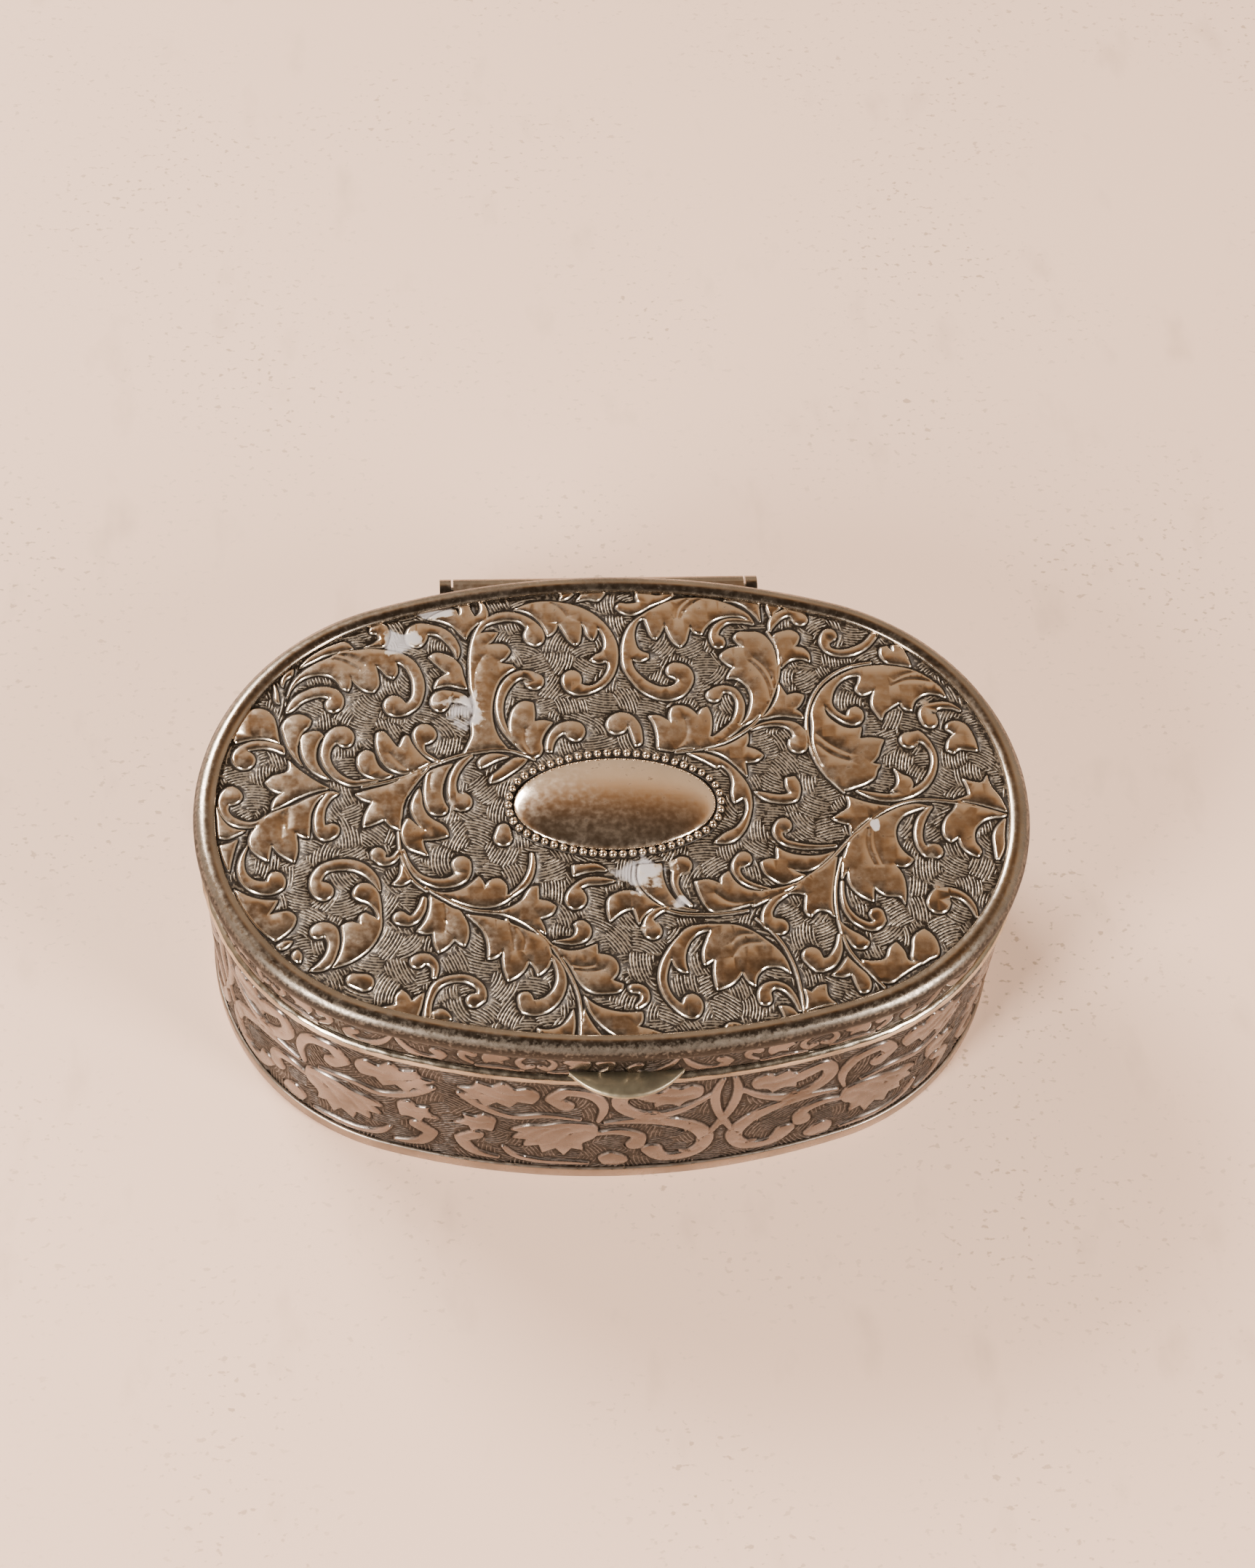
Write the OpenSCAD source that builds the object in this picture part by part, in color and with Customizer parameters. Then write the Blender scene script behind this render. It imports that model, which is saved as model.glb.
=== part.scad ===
// Oval hinged pill box: a shallow embossed base with a foot band and a round
// mouth wire, and a hinged lid with a rounded rim, an embossed top plate, an
// oval boss in a beaded border, an embossed skirt and a thumb piece.
//
// Frame: millimetres, +Z up, the underside of the foot band at z = 0, the
// middle of the oval at x = 0, y = 0. The front (thumb piece) faces -Y, the
// hinge is at +Y. The box is drawn closed.
//
// Every wall of the box is swept round one four-centred oval. A profile is
// drawn in 2-D with x as the distance inside the outline and y as the height.

/* [Box outline] */
// Length of the lid rim, side to side
length = 90; // [84:1:104]
// Depth of the lid rim, front to back
depth = 60.4; // [59:0.2:64]
// Radius of the two end arcs of the oval
end_radius = 27.5; // [25:0.5:28.5]

/* [Base] */
// Height of the centre line of the round mouth wire
mouth_height = 23.5; // [18:0.5:30]
// How far the embossed walls stand inside the rim's outline
wall_inset = 0.7; // [0.4:0.1:1]
// Thickness of the base wall
wall_thickness = 1.05; // [0.9:0.05:1.4]
// Radius of the round wire soldered round the mouth
mouth_wire_radius = 0.8; // [0.7:0.05:0.9]
// Height of the mouth wire's centre line above the wall it sits on
wire_seat = 0.6; // [0.45:0.05:0.65]
// Thickness of the floor plate
floor_thickness = 0.9; // [0.6:0.1:1.6]
// Height of the plain foot band
foot_height = 2; // [1.2:0.2:3]
// How far the foot band stands outside the wall
foot_stand = 0.4; // [0.2:0.05:0.6]
// Bevel along the foot band's edges
foot_bevel = 0.2; // [0.1:0.05:0.3]
// Thickness of the inner lip that the lid closes over
lip_thickness = 0.6; // [0.4:0.05:1]
// How far the inner lip stands above the mouth wire
lip_stand = 2.2; // [1:0.2:3]
// How far the inner lip reaches down inside the wall
lip_reach = 5; // [3:0.5:8]

/* [Lid] */
// Gap between the closed skirt and the mouth wire
parting_gap = 0.2; // [0.15:0.05:0.4]
// Height of the embossed skirt
skirt_height = 3.8; // [3:0.1:6]
// Thickness of the skirt
skirt_thickness = 0.6; // [0.4:0.05:0.65]
// Radius of the rounded rim moulding
rim_radius = 1.45; // [1.3:0.05:1.7]
// Height of the rim's centre line above the flat it is soldered down on
rim_seat = 1.25; // [1.1:0.05:1.25]
// Width of the rim moulding before it meets the top plate
rim_width = 2.35; // [2.1:0.05:2.4]
// Thickness of the embossed top plate
plate_thickness = 0.85; // [0.6:0.05:1]
// Depth of the top plate's surface below the crown of the rim
plate_recess = 0.65; // [0.5:0.05:0.8]

/* [Oval boss] */
// Length of the plain domed boss
boss_length = 21.8; // [18:0.2:24]
// Depth of the plain domed boss
boss_depth = 11.6; // [9:0.2:12]
// Height of the boss above the top plate
boss_height = 1.1; // [0.8:0.1:1.6]
// Radius of one bead of the border
bead_radius = 0.42; // [0.36:0.02:0.46]
// Number of beads in the border
bead_count = 54; // [48:1:56]
// Thickness of the flat strip that carries the beads
strip_thickness = 0.25; // [0.2:0.05:0.35]
// Width of that strip
strip_width = 0.9; // [0.88:0.02:1]

/* [Thumb piece] */
// Width of the thumb piece where it leaves the skirt
thumb_width = 11.8; // [9:0.2:15]
// How far the thumb piece stands out from the skirt
thumb_stand = 2.9; // [2:0.1:4]
// Thickness of the thumb piece
thumb_thickness = 0.8; // [0.6:0.1:1.2]

/* [Hinge] */
// Length of the hinge along the back
hinge_length = 36.4; // [30:0.2:40]
// Width of each end lug of the base leaf
lug_width = 1.3; // [1.2:0.1:3]
// Radius of the hinge barrel
barrel_radius = 1.5; // [1.4:0.05:1.6]
// Radius of the hinge pin
pin_radius = 0.6; // [0.5:0.05:0.7]
// Radial play between the lid's barrel and the pin
pin_play = 0.05; // [0.03:0.01:0.08]
// How far the hinge line stands behind the rim's outline
hinge_stand = 2.2; // [2:0.1:3]
// Gap between the barrel and each end lug
lug_gap = 0.25; // [0.2:0.05:0.4]
// Height of the base leaf
base_leaf_height = 3; // [2:0.2:5]

/* [Hidden] */
$fn = 96;
epsilon = 0.01;
// how far each bead is sunk into its strip
bead_sink = 0.06;
// flats round each rounded profile
round_sides = 24;
// the swept band at a plate's edge, and the sides of the core inside it
plate_edge_band = 8;
core_sides = 36;
// sides of the large round cutter that follows a wall
cutter_sides = 720;
// how far a cutting shape runs past what it cuts
overrun = 1;
half_l = length / 2;
half_d = depth / 2;
box_end_centre = end_centre(half_l, end_radius);
box_side_radius = side_radius(half_l, half_d, end_radius);
box_side_centre = side_centre(half_l, half_d, end_radius);
box_turn = hand_over(half_l, half_d, end_radius);

// where the closed lid parts from the base
wire_top = mouth_height + mouth_wire_radius;
skirt_bottom = wire_top + parting_gap;
skirt_top = skirt_bottom + skirt_height;
rim_centre_z = skirt_top + rim_seat;
box_height = rim_centre_z + rim_radius;
plate_top = box_height - plate_recess;

wall_inner = wall_inset + wall_thickness;
wall_top = mouth_height - wire_seat;
wire_inset = wall_inner - mouth_wire_radius;
lip_top = wire_top + lip_stand;
lip_bottom = mouth_height - lip_reach;

// the skirt stands a hair inside the base wall's outer face
skirt_setback = 0.05;
skirt_inset = wall_inset + skirt_setback;

// the beaded border follows its own four-centred oval round the boss
border_gap = 0.12;
// share of the half depth that makes the end arcs clear the boss all round
border_roundness = 0.7;
border_half_l = boss_length / 2 + border_gap + strip_width / 2;
border_half_d = boss_depth / 2 + border_gap + strip_width / 2;
border_end_radius = border_half_d * border_roundness;
border_turn = hand_over(border_half_l, border_half_d, border_end_radius);
border_end_centre = end_centre(border_half_l, border_end_radius);
border_side_radius =
    side_radius(border_half_l, border_half_d, border_end_radius);
border_end_run = border_end_radius * border_turn * PI / 180;
border_quarter_run = border_end_run
    + border_side_radius * (90 - border_turn) * PI / 180;

// hinge line, at the height of the parting
hinge_y = half_d + hinge_stand;
hinge_z = skirt_bottom - parting_gap / 2;
knuckle_length = hinge_length - 2 * (lug_width + lug_gap);
leaf_gap = 0.25;
base_leaf_top = hinge_z - barrel_radius - leaf_gap;
leaf_lift = 0.1;
lid_leaf_bottom = skirt_bottom + leaf_lift;
skirt_back_y = half_d - skirt_inset;
// the leaves start this far inside, and are then trimmed to the curved walls
leaf_root = 8;

// ---- the four-centred oval -------------------------------------------------

// centre of the end arcs, radius and centre of the side arcs, and the angle at
// which an end arc hands over to a side arc
function end_centre(hl, er) = hl - er;
function side_radius(hl, hd, er) =
    (pow(hl - er, 2) + hd * hd - er * er) / (2 * (hd - er));
function side_centre(hl, hd, er) = side_radius(hl, hd, er) - hd;
function hand_over(hl, hd, er) =
    atan2(side_centre(hl, hd, er), end_centre(hl, er));

// a profile swept round the oval; the profile is the child
module oval_ring(hl = half_l, hd = half_d, er = end_radius) {
    turn = hand_over(hl, hd, er);
    for (half = [0, 180]) rotate([0, 0, half]) {
        translate([end_centre(hl, er), 0, 0]) rotate([0, 0, -turn])
            rotate_extrude(angle = 2 * turn)
                translate([er, 0]) mirror([1, 0]) children();
        translate([0, -side_centre(hl, hd, er), 0]) rotate([0, 0, turn])
            rotate_extrude(angle = 180 - 2 * turn)
                translate([side_radius(hl, hd, er), 0]) mirror([1, 0])
                    children();
    }
}

// a flat plate bounded by the oval: a swept edge band round a straight-sided
// core whose sides lie inside that band
module oval_plate(inset, z, h) {
    core = inset + plate_edge_band / 2;
    oval_ring() band_profile(inset, inset + plate_edge_band, z, z + h);
    translate([0, 0, z]) linear_extrude(h) polygon([
        for (i = [0 : core_sides - 1])
            let (a = 360 * (i + 0.5) / core_sides)
                abs(sin(a)) > sin(box_turn)
                    ? [(box_side_radius - core) * cos(a),
                       (box_side_radius - core) * sin(a)
                            - sign(sin(a)) * box_side_centre]
                    : [(end_radius - core) * cos(a)
                            + sign(cos(a)) * box_end_centre,
                       (end_radius - core) * sin(a)]
    ]);
}

// the round cutter that trims a piece to the wall: facing is 1 for the back
// wall and -1 for the front wall
module wall_cutter(inset, z, h, facing) {
    translate([0, -facing * box_side_centre, z])
        cylinder(r = box_side_radius - inset, h = h, $fn = cutter_sides);
}

// a rectangle from one inset to another and from one height to another
module band_profile(inset_a, inset_b, z_a, z_b) {
    translate([inset_a, z_a]) square([inset_b - inset_a, z_b - z_a]);
}

// a round profile drawn with fine flats, so that each flat sweeps to a true
// cylinder or cone
module round_profile(r) {
    polygon([for (i = [0 : round_sides - 1])
        let (a = 360 * (i + 0.5) / round_sides)
            [r * cos(a), r * sin(a)] / cos(180 / round_sides)]);
}

// the mouth wire: round, with a flat underside where it sits on the wall
module wire_profile() {
    intersection() {
        translate([wire_inset, mouth_height])
            round_profile(mouth_wire_radius);
        translate([-overrun, wall_top])
            square(overrun + 4 * mouth_wire_radius);
    }
}

// the rim moulding: round, cut flat below where the skirt joins it and
// square inside where the top plate joins it
module rim_profile() {
    intersection() {
        translate([rim_radius, rim_centre_z]) round_profile(rim_radius);
        translate([-overrun, skirt_top])
            square([rim_width + overrun, 4 * rim_radius]);
    }
}

// ---- base ------------------------------------------------------------------

module base_wall() {
    color([0.66, 0.6, 0.52]) oval_ring()
        band_profile(wall_inset, wall_inner, 0, wall_top);
}

module base_floor() {
    color([0.7, 0.65, 0.56])
        oval_plate(wall_inner, 0, floor_thickness);
}

module base_foot_band() {
    outer = wall_inset - foot_stand;
    color([0.62, 0.57, 0.5]) oval_ring() polygon([
        [wall_inset, 0], [outer + foot_bevel, 0], [outer, foot_bevel],
        [outer, foot_height - foot_bevel],
        [outer + foot_bevel, foot_height], [wall_inset, foot_height]
    ]);
}

module base_mouth_wire() {
    color([0.76, 0.7, 0.6]) oval_ring() wire_profile();
}

module base_inner_lip() {
    color([0.72, 0.66, 0.56]) oval_ring()
        band_profile(wall_inner, wall_inner + lip_thickness, lip_bottom,
            lip_top);
}

// ---- hinge -----------------------------------------------------------------

module hinge_rod(radius, span) {
    translate([-span / 2, hinge_y, hinge_z]) rotate([0, 90, 0])
        cylinder(r = radius, h = span);
}

module hinge_base_leaf() {
    color([0.6, 0.55, 0.48]) difference() {
        union() {
            difference() {
                translate([-hinge_length / 2, half_d - leaf_root,
                        base_leaf_top - base_leaf_height])
                    cube([hinge_length,
                        hinge_y + barrel_radius - half_d + leaf_root,
                        base_leaf_height]);
                wall_cutter(wall_inset,
                    base_leaf_top - base_leaf_height - epsilon,
                    base_leaf_height + 2 * epsilon, 1);
            }
            for (side = [-1, 1])
                translate([side * (hinge_length - lug_width) / 2, hinge_y,
                        hinge_z]) {
                    rotate([0, 90, 0]) cylinder(r = barrel_radius,
                        h = lug_width, center = true);
                    translate([-lug_width / 2, -barrel_radius,
                            base_leaf_top - hinge_z - base_leaf_height / 2])
                        cube([lug_width, 2 * barrel_radius,
                            hinge_z - base_leaf_top + base_leaf_height / 2]);
                }
        }
        hinge_rod(pin_radius, hinge_length + 2 * overrun);
    }
}

module hinge_pin() {
    color([0.5, 0.47, 0.42]) hinge_rod(pin_radius, hinge_length);
}

module hinge_lid_leaf() {
    color([0.64, 0.59, 0.51]) difference() {
        union() {
            hinge_rod(barrel_radius, knuckle_length);
            difference() {
                translate([-knuckle_length / 2, half_d - leaf_root,
                        lid_leaf_bottom])
                    cube([knuckle_length, hinge_y - half_d + leaf_root,
                        hinge_z + barrel_radius - lid_leaf_bottom]);
                wall_cutter(skirt_inset, lid_leaf_bottom - epsilon,
                    barrel_radius + overrun, 1);
            }
        }
        hinge_rod(pin_radius + pin_play, hinge_length);
    }
}

// ---- lid -------------------------------------------------------------------

module lid_rim() {
    color([0.7, 0.64, 0.55]) oval_ring() rim_profile();
}

module lid_top_plate() {
    color([0.58, 0.5, 0.4])
        oval_plate(rim_width, plate_top - plate_thickness, plate_thickness);
}

module lid_skirt() {
    color([0.64, 0.58, 0.5]) oval_ring()
        band_profile(skirt_inset, skirt_inset + skirt_thickness,
            skirt_bottom, skirt_top);
}

module lid_boss() {
    color([0.7, 0.6, 0.5]) translate([0, 0, plate_top]) intersection() {
        scale([boss_length / 2, boss_depth / 2, boss_height]) sphere(r = 1);
        translate([-boss_length, -boss_depth, 0])
            cube([2 * boss_length, 2 * boss_depth, 2 * boss_height]);
    }
}

// a point on the first quarter of the border's middle line, by arc length
function border_quarter(run) =
    run < border_end_run
        ? let (a = run / border_end_radius * 180 / PI)
            [border_end_centre + border_end_radius * cos(a),
             border_end_radius * sin(a)]
        : let (a = border_turn
                + (run - border_end_run) / border_side_radius * 180 / PI)
            [border_side_radius * cos(a),
             border_half_d - border_side_radius
                + border_side_radius * sin(a)];

// a point on the whole middle line, by share of the way round
function border_point(share) =
    let (q = floor(4 * share), f = 4 * share - q,
        p = border_quarter(border_quarter_run * (q % 2 == 0 ? f : 1 - f)))
    [p[0] * (q == 0 || q == 3 ? 1 : -1), p[1] * (q < 2 ? 1 : -1)];

// half a ball, flat side down
module bead() {
    intersection() {
        sphere(r = bead_radius);
        translate([-bead_radius, -bead_radius, 0])
            cube([2 * bead_radius, 2 * bead_radius, bead_radius]);
    }
}

module lid_boss_border() {
    color([0.78, 0.72, 0.62]) {
        oval_ring(border_half_l + strip_width / 2,
                border_half_d + strip_width / 2,
                border_end_radius + strip_width / 2)
            band_profile(0, strip_width, plate_top,
                plate_top + strip_thickness);
        for (i = [0 : bead_count - 1])
            let (p = border_point((i + 0.5) / bead_count))
                translate([p[0], p[1],
                    plate_top + strip_thickness - bead_sink]) bead();
    }
}

module lid_thumb_piece() {
    round_r = (pow(thumb_width / 2, 2) + pow(thumb_stand, 2))
        / (2 * thumb_stand);
    color([0.74, 0.7, 0.54]) difference() {
        translate([0, -skirt_back_y - thumb_stand + round_r, skirt_bottom])
            cylinder(r = round_r, h = thumb_thickness);
        wall_cutter(skirt_inset, skirt_bottom - epsilon,
            thumb_thickness + 2 * epsilon, -1);
    }
}

base_wall();
base_floor();
base_foot_band();
base_mouth_wire();
base_inner_lip();
hinge_base_leaf();
hinge_pin();
hinge_lid_leaf();
lid_rim();
lid_top_plate();
lid_skirt();
lid_boss();
lid_boss_border();
lid_thumb_piece();
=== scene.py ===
"""The looks of the pill box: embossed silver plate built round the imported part."""

import math
import random

import bpy
import numpy as np
from mathutils import Matrix, Vector
from mathutils.geometry import delaunay_2d_cdt
from mathutils.kdtree import KDTree


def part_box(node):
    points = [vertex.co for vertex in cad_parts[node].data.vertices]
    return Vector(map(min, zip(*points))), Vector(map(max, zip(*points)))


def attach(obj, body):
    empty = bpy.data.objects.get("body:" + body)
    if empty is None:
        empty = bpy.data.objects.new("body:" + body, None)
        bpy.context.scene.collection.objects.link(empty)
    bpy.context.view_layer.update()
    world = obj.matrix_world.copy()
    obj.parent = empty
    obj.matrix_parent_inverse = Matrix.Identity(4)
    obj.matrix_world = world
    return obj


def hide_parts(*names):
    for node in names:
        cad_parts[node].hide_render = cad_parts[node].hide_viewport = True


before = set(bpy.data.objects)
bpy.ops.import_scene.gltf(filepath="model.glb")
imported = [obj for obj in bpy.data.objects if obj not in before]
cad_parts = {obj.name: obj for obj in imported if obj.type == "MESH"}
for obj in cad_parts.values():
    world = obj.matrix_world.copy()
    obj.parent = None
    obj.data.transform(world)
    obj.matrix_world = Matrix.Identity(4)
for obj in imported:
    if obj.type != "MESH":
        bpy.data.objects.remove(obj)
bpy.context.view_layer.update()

# Everything below is worked out in millimetres and becomes metres when a mesh is made.
MM = 0.001


# ---------------------------------------------------------------- the box's oval

def limits(node):
    """The lowest and highest corners of a CAD node, in millimetres."""
    low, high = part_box(node)
    return np.array(low) / MM, np.array(high) / MM


RIM_HIGH = limits("lid_rim")[1]
PLATE_LOW, PLATE_HIGH = limits("lid_top_plate")
WALL_HIGH = limits("base_wall")[1]
SKIRT_HIGH = limits("lid_skirt")[1]
WIRE_LOW, WIRE_HIGH = limits("base_mouth_wire")
FOOT_LOW, FOOT_HIGH = limits("base_foot_band")
BOSS_HIGH = limits("lid_boss")[1]
BORDER_HIGH = limits("lid_boss_border")[1]
THUMB_LOW, THUMB_HIGH = limits("lid_thumb_piece")

# the rim's outline is the box's outermost oval; everything else is an inset from it
HALF_L = RIM_HIGH[0]
HALF_D = RIM_HIGH[1]
END_RADIUS = 27.5


class Oval:
    """An oval of four arcs: two round ends and two flatter sides."""

    def __init__(self, half_l, half_d, end_radius):
        self.half_l = half_l
        self.half_d = half_d
        self.end_centre = half_l - end_radius
        gap = half_d - end_radius
        self.side_radius = end_radius + (self.end_centre ** 2 + gap ** 2) / (2 * gap)
        self.side_centre = self.side_radius - half_d
        turn = math.atan2(self.side_centre, self.end_centre)
        quarter = math.pi / 2
        self.arcs = [
            ((0, self.side_centre), self.side_radius, -quarter, -turn),
            ((self.end_centre, 0), end_radius, -turn, turn),
            ((0, -self.side_centre), self.side_radius, turn, math.pi - turn),
            ((-self.end_centre, 0), end_radius, math.pi - turn, math.pi + turn),
            ((0, self.side_centre), self.side_radius, math.pi + turn, 3 * quarter),
        ]

    def place(self, run, measured_at=0.0):
        """A centre, a radius and an angle for each run round the oval, which starts at the
        front's middle and goes towards +X."""
        run = np.mod(run, self.round(measured_at))
        centre = np.zeros((len(run), 2))
        radius = np.zeros(len(run))
        angle = np.zeros(len(run))
        start = 0.0
        for middle, arc_radius, first, last in self.arcs:
            there = run >= start - 1e-9
            centre[there] = middle
            radius[there] = arc_radius
            angle[there] = first + (run[there] - start) / (arc_radius - measured_at)
            start += (arc_radius - measured_at) * (last - first)
        return centre, radius, angle

    def round(self, inset=0.0):
        """The length of the oval that lies that far inside this one."""
        return sum((r - inset) * (last - first) for _, r, first, last in self.arcs)

    def points(self, run, inset, measured_at=0.0):
        """Points at those runs, each that far inside the outline."""
        centre, radius, angle = self.place(run, measured_at)
        reach = (radius - inset)[:, None]
        return centre + reach * np.stack([np.cos(angle), np.sin(angle)], 1)


BOX = Oval(HALF_L, HALF_D, END_RADIUS)


# ---------------------------------------------------------------- meshes

def make_piece(name, vertices, faces, body, replaced=(), patina_and_shade=None):
    """A mesh piece from points in millimetres, riding on a body and standing for CAD nodes."""
    mesh = bpy.data.meshes.new(name)
    mesh.from_pydata([tuple(v) for v in np.asarray(vertices) * MM], [], faces)
    mesh.update()
    mesh.shade_smooth()
    if patina_and_shade is not None:
        layer = mesh.attributes.new("patina_and_shade", "FLOAT", "POINT")
        layer.data.foreach_set("value", np.asarray(patina_and_shade, np.float32))
    piece = bpy.data.objects.new(name, mesh)
    bpy.context.scene.collection.objects.link(piece)
    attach(piece, body)
    if replaced:
        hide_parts(*replaced)
    return piece


def swept_ring(oval, profile, steps=360, wobble=None):
    """A closed profile of (inset, height) points swept round an oval, as vertices and faces."""
    run = np.arange(steps) / steps * oval.round()
    rings = []
    for k, (inset, height) in enumerate(profile):
        shift = wobble(run, k) if wobble else 0.0
        flat = oval.points(run, inset + shift)
        rings.append(np.column_stack([flat, np.full(steps, height)]))
    vertices = np.stack(rings, 1).reshape(-1, 3)
    count = len(profile)
    faces = []
    for i in range(steps):
        ahead = (i + 1) % steps
        for k in range(count):
            after = (k + 1) % count
            faces.append((i * count + k, ahead * count + k,
                          ahead * count + after, i * count + after))
    return vertices, faces


def strips(rings):
    """The faces between neighbouring rings. Each strip has its own points, so edges stay crisp."""
    parts = []
    for ring, after in zip(rings, rings[1:]):
        count = len(ring)
        faces = [(i, (i + 1) % count, count + (i + 1) % count, count + i) for i in range(count)]
        parts.append((np.concatenate([ring, after]), faces))
    return joined(*parts)


def joined(*parts):
    """Several (vertices, faces) pairs as one."""
    vertices, faces, start = [], [], 0
    for some_vertices, some_faces in parts:
        vertices.append(np.asarray(some_vertices, float))
        faces += [tuple(start + i for i in face) for face in some_faces]
        start += len(some_vertices)
    return np.concatenate(vertices), faces


# ---------------------------------------------------------------- outlines

CORNER = math.radians(64)


def smooth_curve(points, step=0.35, closed=True):
    """A curve through given points. A turn sharper than CORNER stays a corner."""
    p = np.array(points, float)
    count = len(p)
    ahead = np.roll(p, -1, 0) - p
    behind = p - np.roll(p, 1, 0)
    lead = np.linalg.norm(ahead, axis=1) + 1e-9
    trail = np.linalg.norm(behind, axis=1) + 1e-9
    tangent = ahead / lead[:, None] ** 2 + behind / trail[:, None] ** 2
    tangent /= np.linalg.norm(tangent, axis=1)[:, None] + 1e-9
    cosine = (ahead * behind).sum(1) / (lead * trail)
    sharp = np.arccos(np.clip(cosine, -1, 1)) > CORNER
    if not closed:
        sharp[0] = sharp[-1] = True
    curve = []
    for i in range(count if closed else count - 1):
        j = (i + 1) % count
        chord = p[j] - p[i]
        length = lead[i]
        leave = tangent[i] * length
        arrive = tangent[j] * length
        if sharp[i]:
            leave = chord if sharp[j] else 1.5 * chord - 0.5 * arrive
        if sharp[j]:
            arrive = chord if sharp[i] else 1.5 * chord - 0.5 * leave
        pieces = max(2, math.ceil(length / step))
        t = (np.arange(pieces) / pieces)[:, None]
        curve.append((2 * t ** 3 - 3 * t ** 2 + 1) * p[i] + (t ** 3 - 2 * t ** 2 + t) * leave
                     + (3 * t ** 2 - 2 * t ** 3) * p[j] + (t ** 3 - t ** 2) * arrive)
    if not closed:
        curve.append(p[-1:])
    return np.concatenate(curve)


def is_inside(points, loop):
    """Which points lie inside a closed loop."""
    found = np.zeros(len(points), bool)
    low, high = loop.min(0), loop.max(0)
    near = np.nonzero(((points >= low) & (points <= high)).all(1))[0]
    if len(near) == 0:
        return found
    x, y = points[near].T
    a, b = loop, np.roll(loop, -1, 0)
    above = (a[:, 1][None] > y[:, None]) != (b[:, 1][None] > y[:, None])
    slope = (b[:, 0] - a[:, 0]) / np.where(b[:, 1] == a[:, 1], 1e-9, b[:, 1] - a[:, 1])
    left = x[:, None] < slope[None] * (y[:, None] - a[:, 1][None]) + a[:, 0][None]
    found[near] = (above & left).sum(1) % 2 == 1
    return found


def moved_out(loop, distance):
    """The loop with each point moved outwards by a distance, or inwards by a negative one."""
    ahead = np.roll(loop, -1, 0) - np.roll(loop, 1, 0)
    outward = np.stack([ahead[:, 1], -ahead[:, 0]], 1)
    outward /= np.linalg.norm(outward, axis=1)[:, None] + 1e-9
    x, y = loop.T
    area = (x * np.roll(y, -1) - y * np.roll(x, -1)).sum()
    return loop + outward * distance * (1 if area > 0 else -1)


# ---------------------------------------------------------------- embossed relief

class Outline:
    """A shape given by its outline."""

    def __init__(self, points, step=0.35):
        self.loop = smooth_curve(points, step)

    def covers(self, points):
        """Which points lie inside the shape."""
        return is_inside(points, self.loop)


class Band:
    """A shape that follows a spine of (x, y, half width) points, with round ends."""

    def __init__(self, spine, step=0.3):
        line = smooth_curve(spine, step, closed=False)
        self.discs = smooth_curve(spine, 0.12, closed=False)
        middle, half = line[:, :2], line[:, 2:]
        ahead = np.gradient(middle, axis=0)
        ahead /= np.linalg.norm(ahead, axis=1)[:, None] + 1e-9
        side = np.stack([-ahead[:, 1], ahead[:, 0]], 1)
        tip = self.round_end(middle[-1], half[-1], ahead[-1], side[-1])
        tail = self.round_end(middle[0], half[0], -ahead[0], -side[0])
        self.loop = np.concatenate([middle + side * half, tip, (middle - side * half)[::-1], tail])

    @staticmethod
    def round_end(middle, half, ahead, side):
        """The half circle at one end, from the left side round to the right."""
        angle = np.radians(np.linspace(90, -90, 9))[1:-1]
        return middle + half * (np.outer(np.cos(angle), ahead) + np.outer(np.sin(angle), side))

    def covers(self, points, margin=0.0):
        """Which points lie inside the shape, or inside one that is narrower by a margin."""
        found = np.zeros(len(points), bool)
        reach = self.discs[:, 2].max()
        low = self.discs[:, :2].min(0) - reach
        high = self.discs[:, :2].max(0) + reach
        near = np.nonzero(((points >= low) & (points <= high)).all(1))[0]
        if len(near):
            x, y, half = self.discs.T
            half = np.maximum(half - margin, 0.01) if margin else half
            px, py = points[near].T
            away = (px[:, None] - x) ** 2 + (py[:, None] - y) ** 2
            found[near] = (away < half ** 2).any(1)
        return found


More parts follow.
